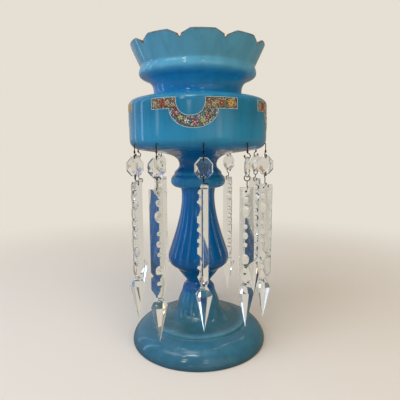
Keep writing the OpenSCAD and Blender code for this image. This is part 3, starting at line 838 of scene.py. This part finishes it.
class LUSTRE_OT_enamel(bpy.types.Operator):
    """Paints the band on the drum: raised outline, dark ground, flowers, leaves and dots"""
    bl_idname = "lustre.enamel"
    bl_label = "Enamel band"

    def execute(self, context):
        e = context.scene.lustre_enamel
        loop = motif_loop(e)
        edge = even_loop(loop)
        heaps = {paint: [] for paint in PAINTS}
        outline, ground, first_seed = [], [], 71
        for k in range(e.motifs):
            turn = e.turn + k * FULL_TURN / e.motifs + math.radians(MOTIF_SHIFT[k % len(MOTIF_SHIFT)])
            outline.append(self.cord(e, edge, turn))
            ground.append(self.field(loop, turn))
            self.flowers(e, random.Random(first_seed + k), loop, edge, turn, heaps)
        pale = vitreous_enamel("enamel_outline", tuple(e.outline))
        place(new_piece("enamel_outline", *joined(outline)), pale, VASE)
        place(new_piece("enamel_ground", *joined(ground)), mosaic_ground(tuple(e.ground), e.bar_low), VASE)
        template, around = self.dab()
        for colour, dabs in heaps.items():
            faces = [[i + k * len(template) for i in f] for k in range(len(dabs)) for f in around]
            paint = vitreous_enamel("enamel_" + colour, tuple(getattr(e, colour)))
            place(new_piece("enamel_" + colour + "_touches", np.vstack(dabs), faces), paint, VASE)
        return {"FINISHED"}

    def dab(self):
        """One touch of the brush, as a half dome of unit size."""
        return cap(sides=8, rings=2, whole=4)

    def cord(self, e, edge, turn):
        """Raised line along the loop, rounded on top."""
        ahead = np.roll(edge, -1, axis=0) - np.roll(edge, 1, axis=0)
        ahead /= np.hypot(*ahead.T)[:, None]
        across = np.column_stack([-ahead[:, 1], ahead[:, 0]])
        columns = []
        for share, high in CORD_SECTION:
            at = edge + across * share * (e.line / MM)
            spot, _, _, normal = drum_place(at[:, 0], at[:, 1], turn)
            columns.append(spot + normal * high * OUTLINE_LIFT)
        return np.stack(columns, 1).reshape(-1, 3), grid_faces(len(edge), len(CORD_SECTION))

    def field(self, loop, turn, cell=0.5):
        """Thin ground inside the loop, as a fine grid that follows the drum."""
        low, high = np.min(loop, 0), np.max(loop, 0)
        s = np.arange(low[0], high[0] + cell, cell)
        z = np.arange(low[1], high[1] + cell, cell)
        spots = np.stack(np.meshgrid(s, z, indexing="ij"), -1)
        middles = (spots[:-1, :-1] + cell / 2).reshape(-1, 2)
        keep = inside_loop(loop, middles).reshape(len(s) - 1, len(z) - 1)
        v, _, _, normal = drum_place(spots[..., 0].ravel(), spots[..., 1].ravel(), turn)
        n = len(z)
        faces = [(i * n + j, (i + 1) * n + j, (i + 1) * n + j + 1, i * n + j + 1)
                 for i, j in zip(*np.nonzero(keep))]
        used = sorted({k for f in faces for k in f})
        number = {k: i for i, k in enumerate(used)}
        return (v + normal * GROUND_LIFT)[used], [[number[k] for k in f] for f in faces]

    def flowers(self, e, rng, loop, edge, turn, heaps):
        """The same bouquet in each motif, no two laid on alike, with leaves and dots between."""
        template, _ = self.dab()
        bar_low = e.bar_low / MM
        taken = []

        def touch(colour, at, long, wide, high, angle):
            s, z = np.array([at[0]]), np.array([at[1]])
            spot, side, rise, normal = (x[0] for x in drum_place(s, z, turn))
            c, w = math.cos(angle), math.sin(angle)
            along, across = side * c + rise * w, rise * c - side * w
            heaps[colour].append(spot + normal * TOUCH_BASE + template[:, :1] * along * long
                                 + template[:, 1:2] * across * wide + template[:, 2:] * normal * high)

        for s, z, size, petal, heart in BOUQUET:
            at = (s + rng.uniform(-0.5, 0.5), z + rng.uniform(-0.35, 0.35))
            start = rng.uniform(0, math.pi)
            if z > bar_low:
                self.rays(touch, rng, loop, edge, at, size, start, petal)
            else:
                self.petals(touch, rng, at, size, start, petal)
            touch(heart, at, size * 0.25, size * 0.25, HEART_LIFT, 0)
            taken.append((at[0], at[1], size * 0.92))
        for at in scatter(rng, loop, edge, LEAF_ROOM, taken, LEAF_MARGIN):
            colour = rng.choice(BAR_LEAVES if at[1] > bar_low else SWAG_LEAVES)
            long, wide = rng.uniform(0.8, 1.15), rng.uniform(0.34, 0.44)
            touch(colour, at, long, wide, LEAF_LIFT, rng.uniform(0, math.pi))
        for at in scatter(rng, loop, edge, DOT_ROOM, taken, DOT_MARGIN):
            touch(rng.choice(DOTS), at, DOT_ROOM, DOT_ROOM, STROKE_LIFT, 0)

    def petals(self, touch, rng, at, size, start, petal):
        """Flower of the swag: five or six petals, and on about half of them the painter's light stroke."""
        light = "red" if petal == "white" else "white"
        petals = rng.choice([5, 5, 6])
        for k in range(petals):
            angle = start + k * FULL_TURN / petals + rng.uniform(-0.12, 0.12)
            reach = size * rng.uniform(0.5, 0.72)
            spot = (at[0] + reach * math.cos(angle), at[1] + reach * math.sin(angle))
            long, wide = size * rng.uniform(0.34, 0.48), size * rng.uniform(0.26, 0.36)
            touch(petal, spot, long, wide, PETAL_LIFT, angle)
            if rng.random() < 0.5:
                touch(light, spot, size * 0.22, size * 0.11, LIGHT_LIFT, angle)

    def rays(self, touch, rng, loop, edge, at, size, start, petal):
        """Flower of the bars: two rings of fine strokes that stand round its heart like rays."""
        for count, reach, long, wide, colour in RAY_RINGS:
            for k in range(count):
                angle = start + (k + rng.uniform(-0.2, 0.2)) * FULL_TURN / count
                spot = np.array(at) + reach * size * np.array([math.cos(angle), math.sin(angle)])
                if np.hypot(*(edge - spot).T).min() > RAY_MARGIN and inside_loop(loop, spot[None])[0]:
                    touch(colour or petal, spot, size * long, size * wide, STROKE_LIFT, angle)


# Operators: the drops. Sizes are in millimetres and turns in degrees.

DROP_TURN = 4
DROP_STEP = 36
HANG_R = 69.203
HOLE_Z = 210.252
TAIL_R = 62.0
TAIL_LEN = 3
BEND_R = 1.2
LOOP_R = 2.6
HEAD_R = 0.95
HANGER_DROP = 11.8
BUTTON_TALL = 18.5
BUTTON_WIDE = 16.2
BUTTON_THICK = 4.8
BUTTON_EDGE = 1.4
BUTTON_HOLE_R = 1.2
BUTTON_HOLE_OFF = 7.25
UPPER_LOOP_Z = HOLE_Z - HANGER_DROP
BUTTON_Z = UPPER_LOOP_Z - LOOP_R - BUTTON_HOLE_OFF
LOW_HOLE_Z = BUTTON_Z - BUTTON_HOLE_OFF
LOWER_LOOP_Z = LOW_HOLE_Z - LOOP_R

# The bar's top end, and the link's crank, whose middle line keeps off the bar as it passes round it
BAR_BACK = -3
BAR_RIDGE = 6
TOP_FRONT = 1
TOP_BEVEL = 8
PIN_DOWN = 3.1
CRANK_R = 0.8
CRANK_OFF = 0.85
PIN_FRONT = TOP_FRONT + (BAR_RIDGE - TOP_FRONT) * PIN_DOWN / TOP_BEVEL

# Straight bits of wire beside a bend
TAIL_STRAIGHT = 1
SHANK_STRAIGHT = 0.6
CRANK_STRAIGHT = 0.3

# The wire's last wraps above a loop: where they start and end, their wire and their number
WRAP_LOW, WRAP_HIGH = 0.35, 2.2
WRAP_WIRE_R = 0.3
WRAP_OUT = 0.22
WRAP_TURNS = 3.2

# Drop by drop: how far its hole is off the even spacing, how far button and prism are turned from facing
# outwards, how long the link is, and whether the link's head lies in front of the prism or at the button
HOLE_SHIFT = [0, 0, 0, 0, 0, 0, 0, -5, 8, 0]
BUTTON_TURN = [0, -130, -70, 10, -15, 8, 0, 20, 60, 40]
PRISM_TURN = [-80, -60, -111, 30, -20, 15, -40, 25, -60, 50]
LINK_LEN = [7, 11.4, 12, 9, 10, 8, 9, 10, 7.2, 12]
HEAD_LOW = [True, True, False, True, False, True, True, False, True, False]


def drop_frame(i, turn=0.0):
    """Matrix of drop i's own frame: x points outwards or as turned, and z is the height above the table."""
    a = math.radians(DROP_TURN + DROP_STEP * i + HOLE_SHIFT[i])
    hang = Vector((math.sin(a), -math.cos(a), 0)) * HANG_R * MM
    return Matrix.Translation(hang) @ Matrix.Rotation(a - math.pi / 2 + math.radians(turn), 4, "Z")


def arc(centre, radius, start, end, steps=14):
    """Points of an arc in the wire's own plane, as x and z."""
    return [(centre[0] + radius * math.cos(math.radians(b)), centre[1] + radius * math.sin(math.radians(b)))
            for b in np.linspace(start, end, steps)]


def coil(low, high, radius, turns, steps=14):
    """Points of the wire's wraps round a shank."""
    t = np.linspace(0, 1, int(turns * steps))
    a = FULL_TURN * turns * t
    return np.column_stack([radius * np.cos(a), radius * np.sin(a), low + (high - low) * t])


def turned(points, degrees):
    """Points in the wire's plane, turned about the drop's own upright line."""
    a = math.radians(degrees)
    return [(x * math.cos(a), x * math.sin(a), z) for x, z in points]


class LUSTRE_OT_wires(bpy.types.Operator):
    """Bends the pins that carry the buttons and the prisms"""
    bl_idname = "lustre.wires"
    bl_label = "Wire pins"

    def execute(self, context):
        drops = context.scene.lustre_drops
        brass = tarnished_brass(tuple(drops.wire))
        r = drops.wire_radius / MM
        for i, number in enumerate(DROPS):
            for part, shape in (("hanger", self.hanger(i, r)), ("link", self.link(i, r))):
                name = "drop_" + number + "_" + part
                piece = new_piece("wire_" + part + "_" + number, *shape)
                piece.matrix_world = drop_frame(i)
                place(piece, brass, name, name)
        return {"FINISHED"}

    def hanger(self, i, r):
        """Pin through the bowl's hole: bent tail, shank, wraps and a loop that ends in the head."""
        tail, loop_top = TAIL_R - HANG_R, UPPER_LOOP_Z + LOOP_R
        tail_low = HOLE_Z + BEND_R
        line = [(tail, tail_low + TAIL_LEN), (tail, tail_low + TAIL_STRAIGHT)]
        line += arc((tail + BEND_R, tail_low), BEND_R, 180, 270)
        line += arc((-BEND_R, HOLE_Z - BEND_R), BEND_R, 90, 0)
        line += [(0, loop_top + SHANK_STRAIGHT), (0, loop_top)]
        ring = turned(arc((0, UPPER_LOOP_Z), LOOP_R, 90, 360, steps=40), BUTTON_TURN[i])
        wraps = coil(loop_top + WRAP_LOW, loop_top + WRAP_HIGH, r + WRAP_OUT, WRAP_TURNS)
        head = turned([(LOOP_R, UPPER_LOOP_Z)], BUTTON_TURN[i])[0]
        return joined([tube(turned(line, 0), r), tube(ring, r), tube(wraps, WRAP_WIRE_R, sides=8),
                       ball(head, HEAD_R)])

    def link(self, i, r):
        """Pin from the button's lower hole, round the back of the prism and through it."""
        top = LOW_HOLE_Z - LINK_LEN[i]
        pin, crank = top - PIN_DOWN, top + CRANK_OFF
        back, front = BAR_BACK - CRANK_OFF, PIN_FRONT + CRANK_OFF
        line = [(0, LOWER_LOOP_Z - LOOP_R), (0, crank + CRANK_R + CRANK_STRAIGHT)]
        line += arc((-CRANK_R, crank + CRANK_R), CRANK_R, 0, -90, steps=8)
        line += arc((back + CRANK_R, crank - CRANK_R), CRANK_R, 90, 180, steps=8)
        line += arc((back + CRANK_R, pin + CRANK_R), CRANK_R, 180, 270, steps=8) + [(front, pin)]
        ring_end, head, turn = 270, (LOOP_R, LOWER_LOOP_Z), BUTTON_TURN[i]
        if HEAD_LOW[i]:
            ring_end, head, turn = 360, (front, pin), PRISM_TURN[i]
        ring = arc((0, LOWER_LOOP_Z), LOOP_R, 0, ring_end, steps=44)
        return joined([tube(turned(line, PRISM_TURN[i]), r), tube(turned(ring, BUTTON_TURN[i]), r),
                       ball(turned([head], turn)[0], HEAD_R)])


class LUSTRE_OT_buttons(bpy.types.Operator):
    """Cuts the octagonal buttons: a table on each side, a star of triangles round it, and two pin holes"""
    bl_idname = "lustre.buttons"
    bl_label = "Crystal buttons"

    def execute(self, context):
        crystal = lead_crystal(tuple(context.scene.lustre_drops.crystal))
        mesh = self.cut()
        for i, number in enumerate(DROPS):
            name = "drop_" + number + "_button"
            piece = show("crystal_button_" + number, mesh.copy())
            piece.matrix_world = drop_frame(i, BUTTON_TURN[i]) @ Matrix.Translation((0, 0, BUTTON_Z * MM))
            place(piece, crystal, name, name)
        return {"FINISHED"}

    def cut(self, n=8):
        """Mesh of one button, from six rings of n corners, less its two holes."""
        tall, wide, thick, edge = BUTTON_TALL / 2, BUTTON_WIDE / 2, BUTTON_THICK / 2, BUTTON_EDGE / 2
        half_step, table, rim_share, slope_share = 180 / n, 0.52, 0.86, 0.42
        girdle = 1 / math.cos(math.radians(half_step))
        front = [(edge, girdle, 0.0), (edge + slope_share * (thick - edge), rim_share * girdle, 0.0),
                 (thick, table, half_step)]
        rings = [(-x, size, shift) for x, size, shift in front[::-1]] + front
        v = []
        for x, size, shift in rings:
            turns = [math.radians(half_step + 2 * half_step * k + shift) for k in range(n)]
            v += [(x, size * wide * math.cos(b), size * tall * math.sin(b)) for b in turns]
        faces = [list(range(n))[::-1], list(range(5 * n, 6 * n))]
        for k in range(n):
            m = (k + 1) % n
            faces += [(low + k, low + m, low + n + m, low + n + k) for low in (n, 2 * n, 3 * n)]
            faces += [(4 * n + k, 4 * n + m, 5 * n + k), (4 * n + m, 5 * n + m, 5 * n + k)]
            faces += [(n + m, n + k, k), (n + m, k, m)]
        blank = new_piece("button_blank", v, faces, smooth=False)
        drills = new_piece("button_drills", *joined([self.drill(end) for end in (-1, 1)]), smooth=False)
        made = blank.modifiers.new("holes", "BOOLEAN")
        made.object, made.operation, made.solver = drills, "DIFFERENCE", "EXACT"
        shape = blank.evaluated_get(bpy.context.evaluated_depsgraph_get())
        mesh = bpy.data.meshes.new_from_object(shape)
        mesh.name = "crystal_button"
        for scrap in (blank, drills):
            bpy.data.objects.remove(scrap)
        return mesh

    def drill(self, end, n=16, reach=4):
        """Rod through the upper or lower end of a button, longer than the button is thick."""
        middle = end * BUTTON_HOLE_OFF
        rod = [(x, BUTTON_HOLE_R * math.cos(b), middle + BUTTON_HOLE_R * math.sin(b))
               for x in (-reach, reach) for b in round_turns(n)]
        around = [list(range(n))[::-1], list(range(n, 2 * n))]
        return rod, around + [(k, (k + 1) % n, n + (k + 1) % n, n + k) for k in range(n)]


class LUSTRE_OT_prisms(bpy.types.Operator):
    """Gives the notched spear prisms their crystal"""
    bl_idname = "lustre.prisms"
    bl_label = "Crystal prisms"

    def execute(self, context):
        crystal = bpy.data.materials["cut_lead_crystal"]
        same_point, same_facet, sharp = 2e-6, math.radians(1.0), math.radians(16)
        for number in DROPS:
            name = "drop_" + number + "_prism"
            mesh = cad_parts[name].data.copy()
            work = bmesh.new()
            work.from_mesh(mesh)
            bmesh.ops.remove_doubles(work, verts=work.verts[:], dist=same_point)
            bmesh.ops.dissolve_limit(work, angle_limit=same_facet, verts=work.verts[:], edges=work.edges[:])
            work.to_mesh(mesh)
            work.free()
            mesh.shade_smooth()
            mesh.set_sharp_from_angle(angle=sharp)
            place(show("crystal_prism_" + number, mesh), crystal, name, name)
        return {"FINISHED"}


# Operator: the stage, in metres

# Lights of the room as polished glass mirrors them: degrees to the right of the front, degrees above
# eye level, reach in degrees and strength
ROOM_LAMPS = [(30, 5, 42, 0.7), (-13.4, 9, 5, 2.2), (-67, 4, 4, 2.0), (34, 2, 6, 1.0), (-10, 78, 24, 0.9),
              (-35, 74, 10, 3.0), (-70, 48, 9, 2.0), (-54, 53, 10, 2.6),
              (-26, 28, 4.5, 12.0), (12, 27, 4, 6.0), (-25, 38, 4.5, 8.0), (13, 38, 4, 5.0),
              (-28, 60, 4, 7.0), (-21, 61, 4.5, 10.0), (-13, 62, 4.5, 10.0), (-6, 62, 4, 6.0),
              (-33, 52, 4, 8.0)]
# Share of a lamp's reach over which it has its full strength
LAMP_CORE = 0.35

COOL = linear("#adceff")
WARM = linear("#ffd2a0")
PLAIN = linear("#fff9f2")
LIGHTS_AIM = (0, 0, 0.16)
FLOOR_REACH = 6.0


class LUSTRE_OT_stage(bpy.types.Operator):
    """Sets the camera at the photograph's view, the pale floor and the soft light"""
    bl_idname = "lustre.stage"
    bl_label = "Stage"

    def execute(self, context):
        stage = context.scene.lustre_stage
        context.scene.view_settings.view_transform = "Standard"
        self.camera(context, stage)
        self.floor(stage)
        self.world(context, stage)
        # the three wide lights only light the surfaces, and gloss mirrors the room's lamps instead
        self.light("soft_key", (-0.85, -0.6, 0.8), (0.9, 0.9), stage.key_power, COOL, False)
        self.light("front_fill", (0.6, -1.0, 0.6), (0.9, 0.9), stage.fill_power, WARM, False)
        self.light("overhead_light", (-0.1, -0.45, 1.15), (1.1, 0.5), stage.top_power, PLAIN, False)
        self.light("window_light", (-1.0, 0.14, 0.45), (0.075, 1.0), stage.window_power, COOL, True)
        self.light("window_edge", (-0.88, 0.5, 0.45), (0.04, 1.0), stage.window_power * 0.4, COOL, True)
        return {"FINISHED"}

    def camera(self, context, stage):
        data = bpy.data.cameras.new("photo_view")
        data.lens, data.sensor_width = stage.lens, 36.0
        data.clip_start, data.clip_end = 0.01, 50.0
        camera = show("photo_view", data)
        camera.matrix_world = (
            Matrix.Translation(stage.eye) @ Matrix.Rotation(-stage.yaw, 4, "Z")
            @ Matrix.Rotation(math.pi / 2 - stage.pitch, 4, "X") @ Matrix.Rotation(stage.roll, 4, "Z"))
        context.scene.camera = camera

    def floor(self, stage):
        """Pale paper that takes the object's shadow and glows far off, so that it has no far edge."""
        corners = [(x * FLOOR_REACH, y * FLOOR_REACH, 0) for x, y in ((-1, -1), (1, -1), (1, 1), (-1, 1))]
        piece = new_piece("pale_floor", corners, [(0, 1, 2, 3)], scale=1.0)
        material, tree, where = new_material("matt_paper_floor")
        far = node(tree, "VectorMath", {"operation": "LENGTH"}, links={0: where})
        fade = node(tree, "MapRange", {"interpolation_type": "SMOOTHSTEP"},
                    {"From Min": 0.22, "From Max": 0.75}, {"Value": far})
        paper = node(tree, "BsdfDiffuse", values={"Color": rgba(stage.floor)})
        glow = node(tree, "Emission", values={"Color": rgba(stage.floor), "Strength": 1.0})
        mixed = node(tree, "MixShader", links={"Fac": fade, 1: paper, 2: glow})
        # polished glass mirrors the floor as a painted glow, dimmer and warmer than the paper and darker in
        # front as painted shade, and clear glass takes a little of its light
        path = node(tree, "LightPath")
        depth = node(tree, "SeparateXYZ", links={"Vector": where}).outputs["Y"]
        back = node(tree, "MapRange", values={"From Min": 0.03, "From Max": 0.12}, links={"Value": depth})
        mirrored = node(tree, "Mix", {"data_type": "RGBA"}, {
            "A": rgba(stage.mirrored), "B": rgba(stage.mirrored_back)}, {"Factor": back})
        for ray, links, strength in (("Is Glossy Ray", {"Color": mirrored}, 1.0),
                                     ("Is Transmission Ray", {}, 0.86)):
            values = {"Color": rgba(stage.floor), "Strength": strength}
            seen = node(tree, "Emission", values=values, links=links)
            mixed = node(tree, "MixShader", links={"Fac": path.outputs[ray], 1: mixed, 2: seen})
        node(tree, "OutputMaterial", links={"Surface": mixed})
        piece.data.materials.append(material)

    def world(self, context, stage):
        """Pale behind the object. Clear glass sees a ring of panels there, and gloss mirrors a dim front."""
        world = bpy.data.worlds.new("pale_studio")
        world.use_nodes = True
        tree = world.node_tree
        tree.nodes.clear()
        path = node(tree, "LightPath")
        direction = node(tree, "TexCoord").outputs["Generated"]
        way = node(tree, "SeparateXYZ", links={"Vector": direction})
        through, panes = self.panels(tree, way, stage)
        mirrored = self.mirrored_room(tree, way, direction)
        floor = rgba(stage.floor)
        mixed = node(tree, "Background", values={"Color": floor, "Strength": 0.5})
        for ray, links in (("Is Glossy Ray", {"Strength": mirrored}),
                           ("Is Transmission Ray", {"Strength": through, "Color": panes}),
                           ("Is Camera Ray", {})):
            sky = node(tree, "Background", values={"Color": floor, "Strength": 1.0}, links=links)
            mixed = node(tree, "MixShader", links={"Fac": path.outputs[ray], 1: mixed, 2: sky})
        node(tree, "OutputWorld", links={"Surface": mixed})
        context.scene.world = world

    def panels(self, tree, way, stage):
        """Strength and colour of eight pale panels with dim gaps, now cool, now warm, dimmer overhead."""
        turn = node(tree, "Math", {"operation": "ARCTAN2"}, links={
            0: way.outputs["X"], 1: way.outputs["Y"]})
        eight = node(tree, "Math", {"operation": "MULTIPLY"}, {1: 8.0}, {0: turn})
        wave = node(tree, "Math", {"operation": "COSINE"}, links={0: eight})
        panel = node(tree, "MapRange", values={
            "From Min": -0.7, "From Max": 0.3, "To Min": 0.48, "To Max": 1.0}, links={"Value": wave})
        high = node(tree, "MapRange", values={
            "From Min": 0.35, "From Max": 0.75, "To Min": 1.0, "To Max": 0.72},
            links={"Value": way.outputs["Z"]})
        through = node(tree, "Math", {"operation": "MULTIPLY"}, links={0: panel, 1: high})
        third = node(tree, "Math", {"operation": "MULTIPLY"}, {1: 3.0}, {0: turn})
        cast = node(tree, "Math", {"operation": "SINE"}, links={0: third})
        share = node(tree, "MapRange", values={"From Min": -1.0, "From Max": 1.0}, links={"Value": cast})
        pale = tuple(stage.floor)
        panes = node(tree, "ValToRGB", links={"Fac": share}, stops=[
            (0.0, linear("#d7d6ea")), (0.35, pale), (0.7, pale), (1.0, linear("#e9cfb2"))])
        return through, panes

    def mirrored_room(self, tree, way, direction):
        """Strength of the room as gloss mirrors it: brighter behind and to the left, with the lamps."""
        behind = node(tree, "MapRange", values={
            "From Min": -0.2, "From Max": 0.8, "To Min": 0.14, "To Max": 0.8},
            links={"Value": way.outputs["Y"]})
        right = node(tree, "MapRange", values={
            "From Min": -0.3, "From Max": 0.8, "To Min": 0.8, "To Max": 0.3},
            links={"Value": way.outputs["X"]})
        mirrored = node(tree, "Math", {"operation": "MULTIPLY"}, links={0: behind, 1: right})
        for side, rise, reach, strength in ROOM_LAMPS:
            a, b = math.radians(side), math.radians(rise)
            aim = (math.cos(b) * math.sin(a), -math.cos(b) * math.cos(a), math.sin(b))
            near = node(tree, "VectorMath", {"operation": "DOT_PRODUCT"}, {1: aim}, {0: direction})
            edge, core = (math.cos(math.radians(share * reach)) for share in (1, LAMP_CORE))
            shine = node(tree, "MapRange", {"interpolation_type": "SMOOTHSTEP"}, {
                "From Min": edge, "From Max": core, "To Min": 0.0, "To Max": strength}, {"Value": near})
            mirrored = node(tree, "Math", {"operation": "ADD"}, links={0: mirrored, 1: shine})
        return mirrored

    def light(self, name, at, size, power, colour, glossy):
        data = bpy.data.lights.new(name, "AREA")
        data.shape = "RECTANGLE"
        data.size, data.size_y = size
        data.energy, data.color = power, colour
        light = show(name, data)
        light.location = at
        light.visible_glossy = glossy
        light.visible_camera = False
        light.rotation_mode = "QUATERNION"
        light.rotation_quaternion = (Vector(LIGHTS_AIM) - Vector(at)).to_track_quat("-Z", "Y")


class LUSTRE_PT_panel(bpy.types.Panel):
    """Sidebar list of the lustre's pieces and settings"""
    bl_idname = "LUSTRE_PT_panel"
    bl_label = "Mantel lustre"
    bl_space_type = "VIEW_3D"
    bl_region_type = "UI"
    bl_category = "Lustre"

    def draw(self, context):
        for operator in OPERATORS:
            self.layout.operator(operator.bl_idname)
        for name, group in GROUPS.items():
            box = self.layout.box()
            for key in group.__annotations__:
                box.prop(getattr(context.scene, name), key)


GROUPS = {"lustre_glass": LustreGlass, "lustre_enamel": LustreEnamel, "lustre_drops": LustreDrops,
          "lustre_stage": LustreStage}
OPERATORS = [LUSTRE_OT_foot, LUSTRE_OT_stem, LUSTRE_OT_knop, LUSTRE_OT_bowl, LUSTRE_OT_enamel,
             LUSTRE_OT_wires, LUSTRE_OT_buttons, LUSTRE_OT_prisms, LUSTRE_OT_stage]


def register():
    for kind in [*GROUPS.values(), *OPERATORS, LUSTRE_PT_panel]:
        bpy.utils.register_class(kind)
    for name, group in GROUPS.items():
        setattr(bpy.types.Scene, name, bpy.props.PointerProperty(type=group))


def unregister():
    for name in GROUPS:
        delattr(bpy.types.Scene, name)
    for kind in reversed([*GROUPS.values(), *OPERATORS, LUSTRE_PT_panel]):
        bpy.utils.unregister_class(kind)


def main():
    register()
    bpy.ops.lustre.foot()
    bpy.ops.lustre.stem()
    bpy.ops.lustre.knop()
    bpy.ops.lustre.bowl()
    bpy.ops.lustre.enamel()
    bpy.ops.lustre.wires()
    bpy.ops.lustre.buttons()
    bpy.ops.lustre.prisms()
    bpy.ops.lustre.stage()
    bpy.context.view_layer.update()


if __name__ == "__main__":
    main()
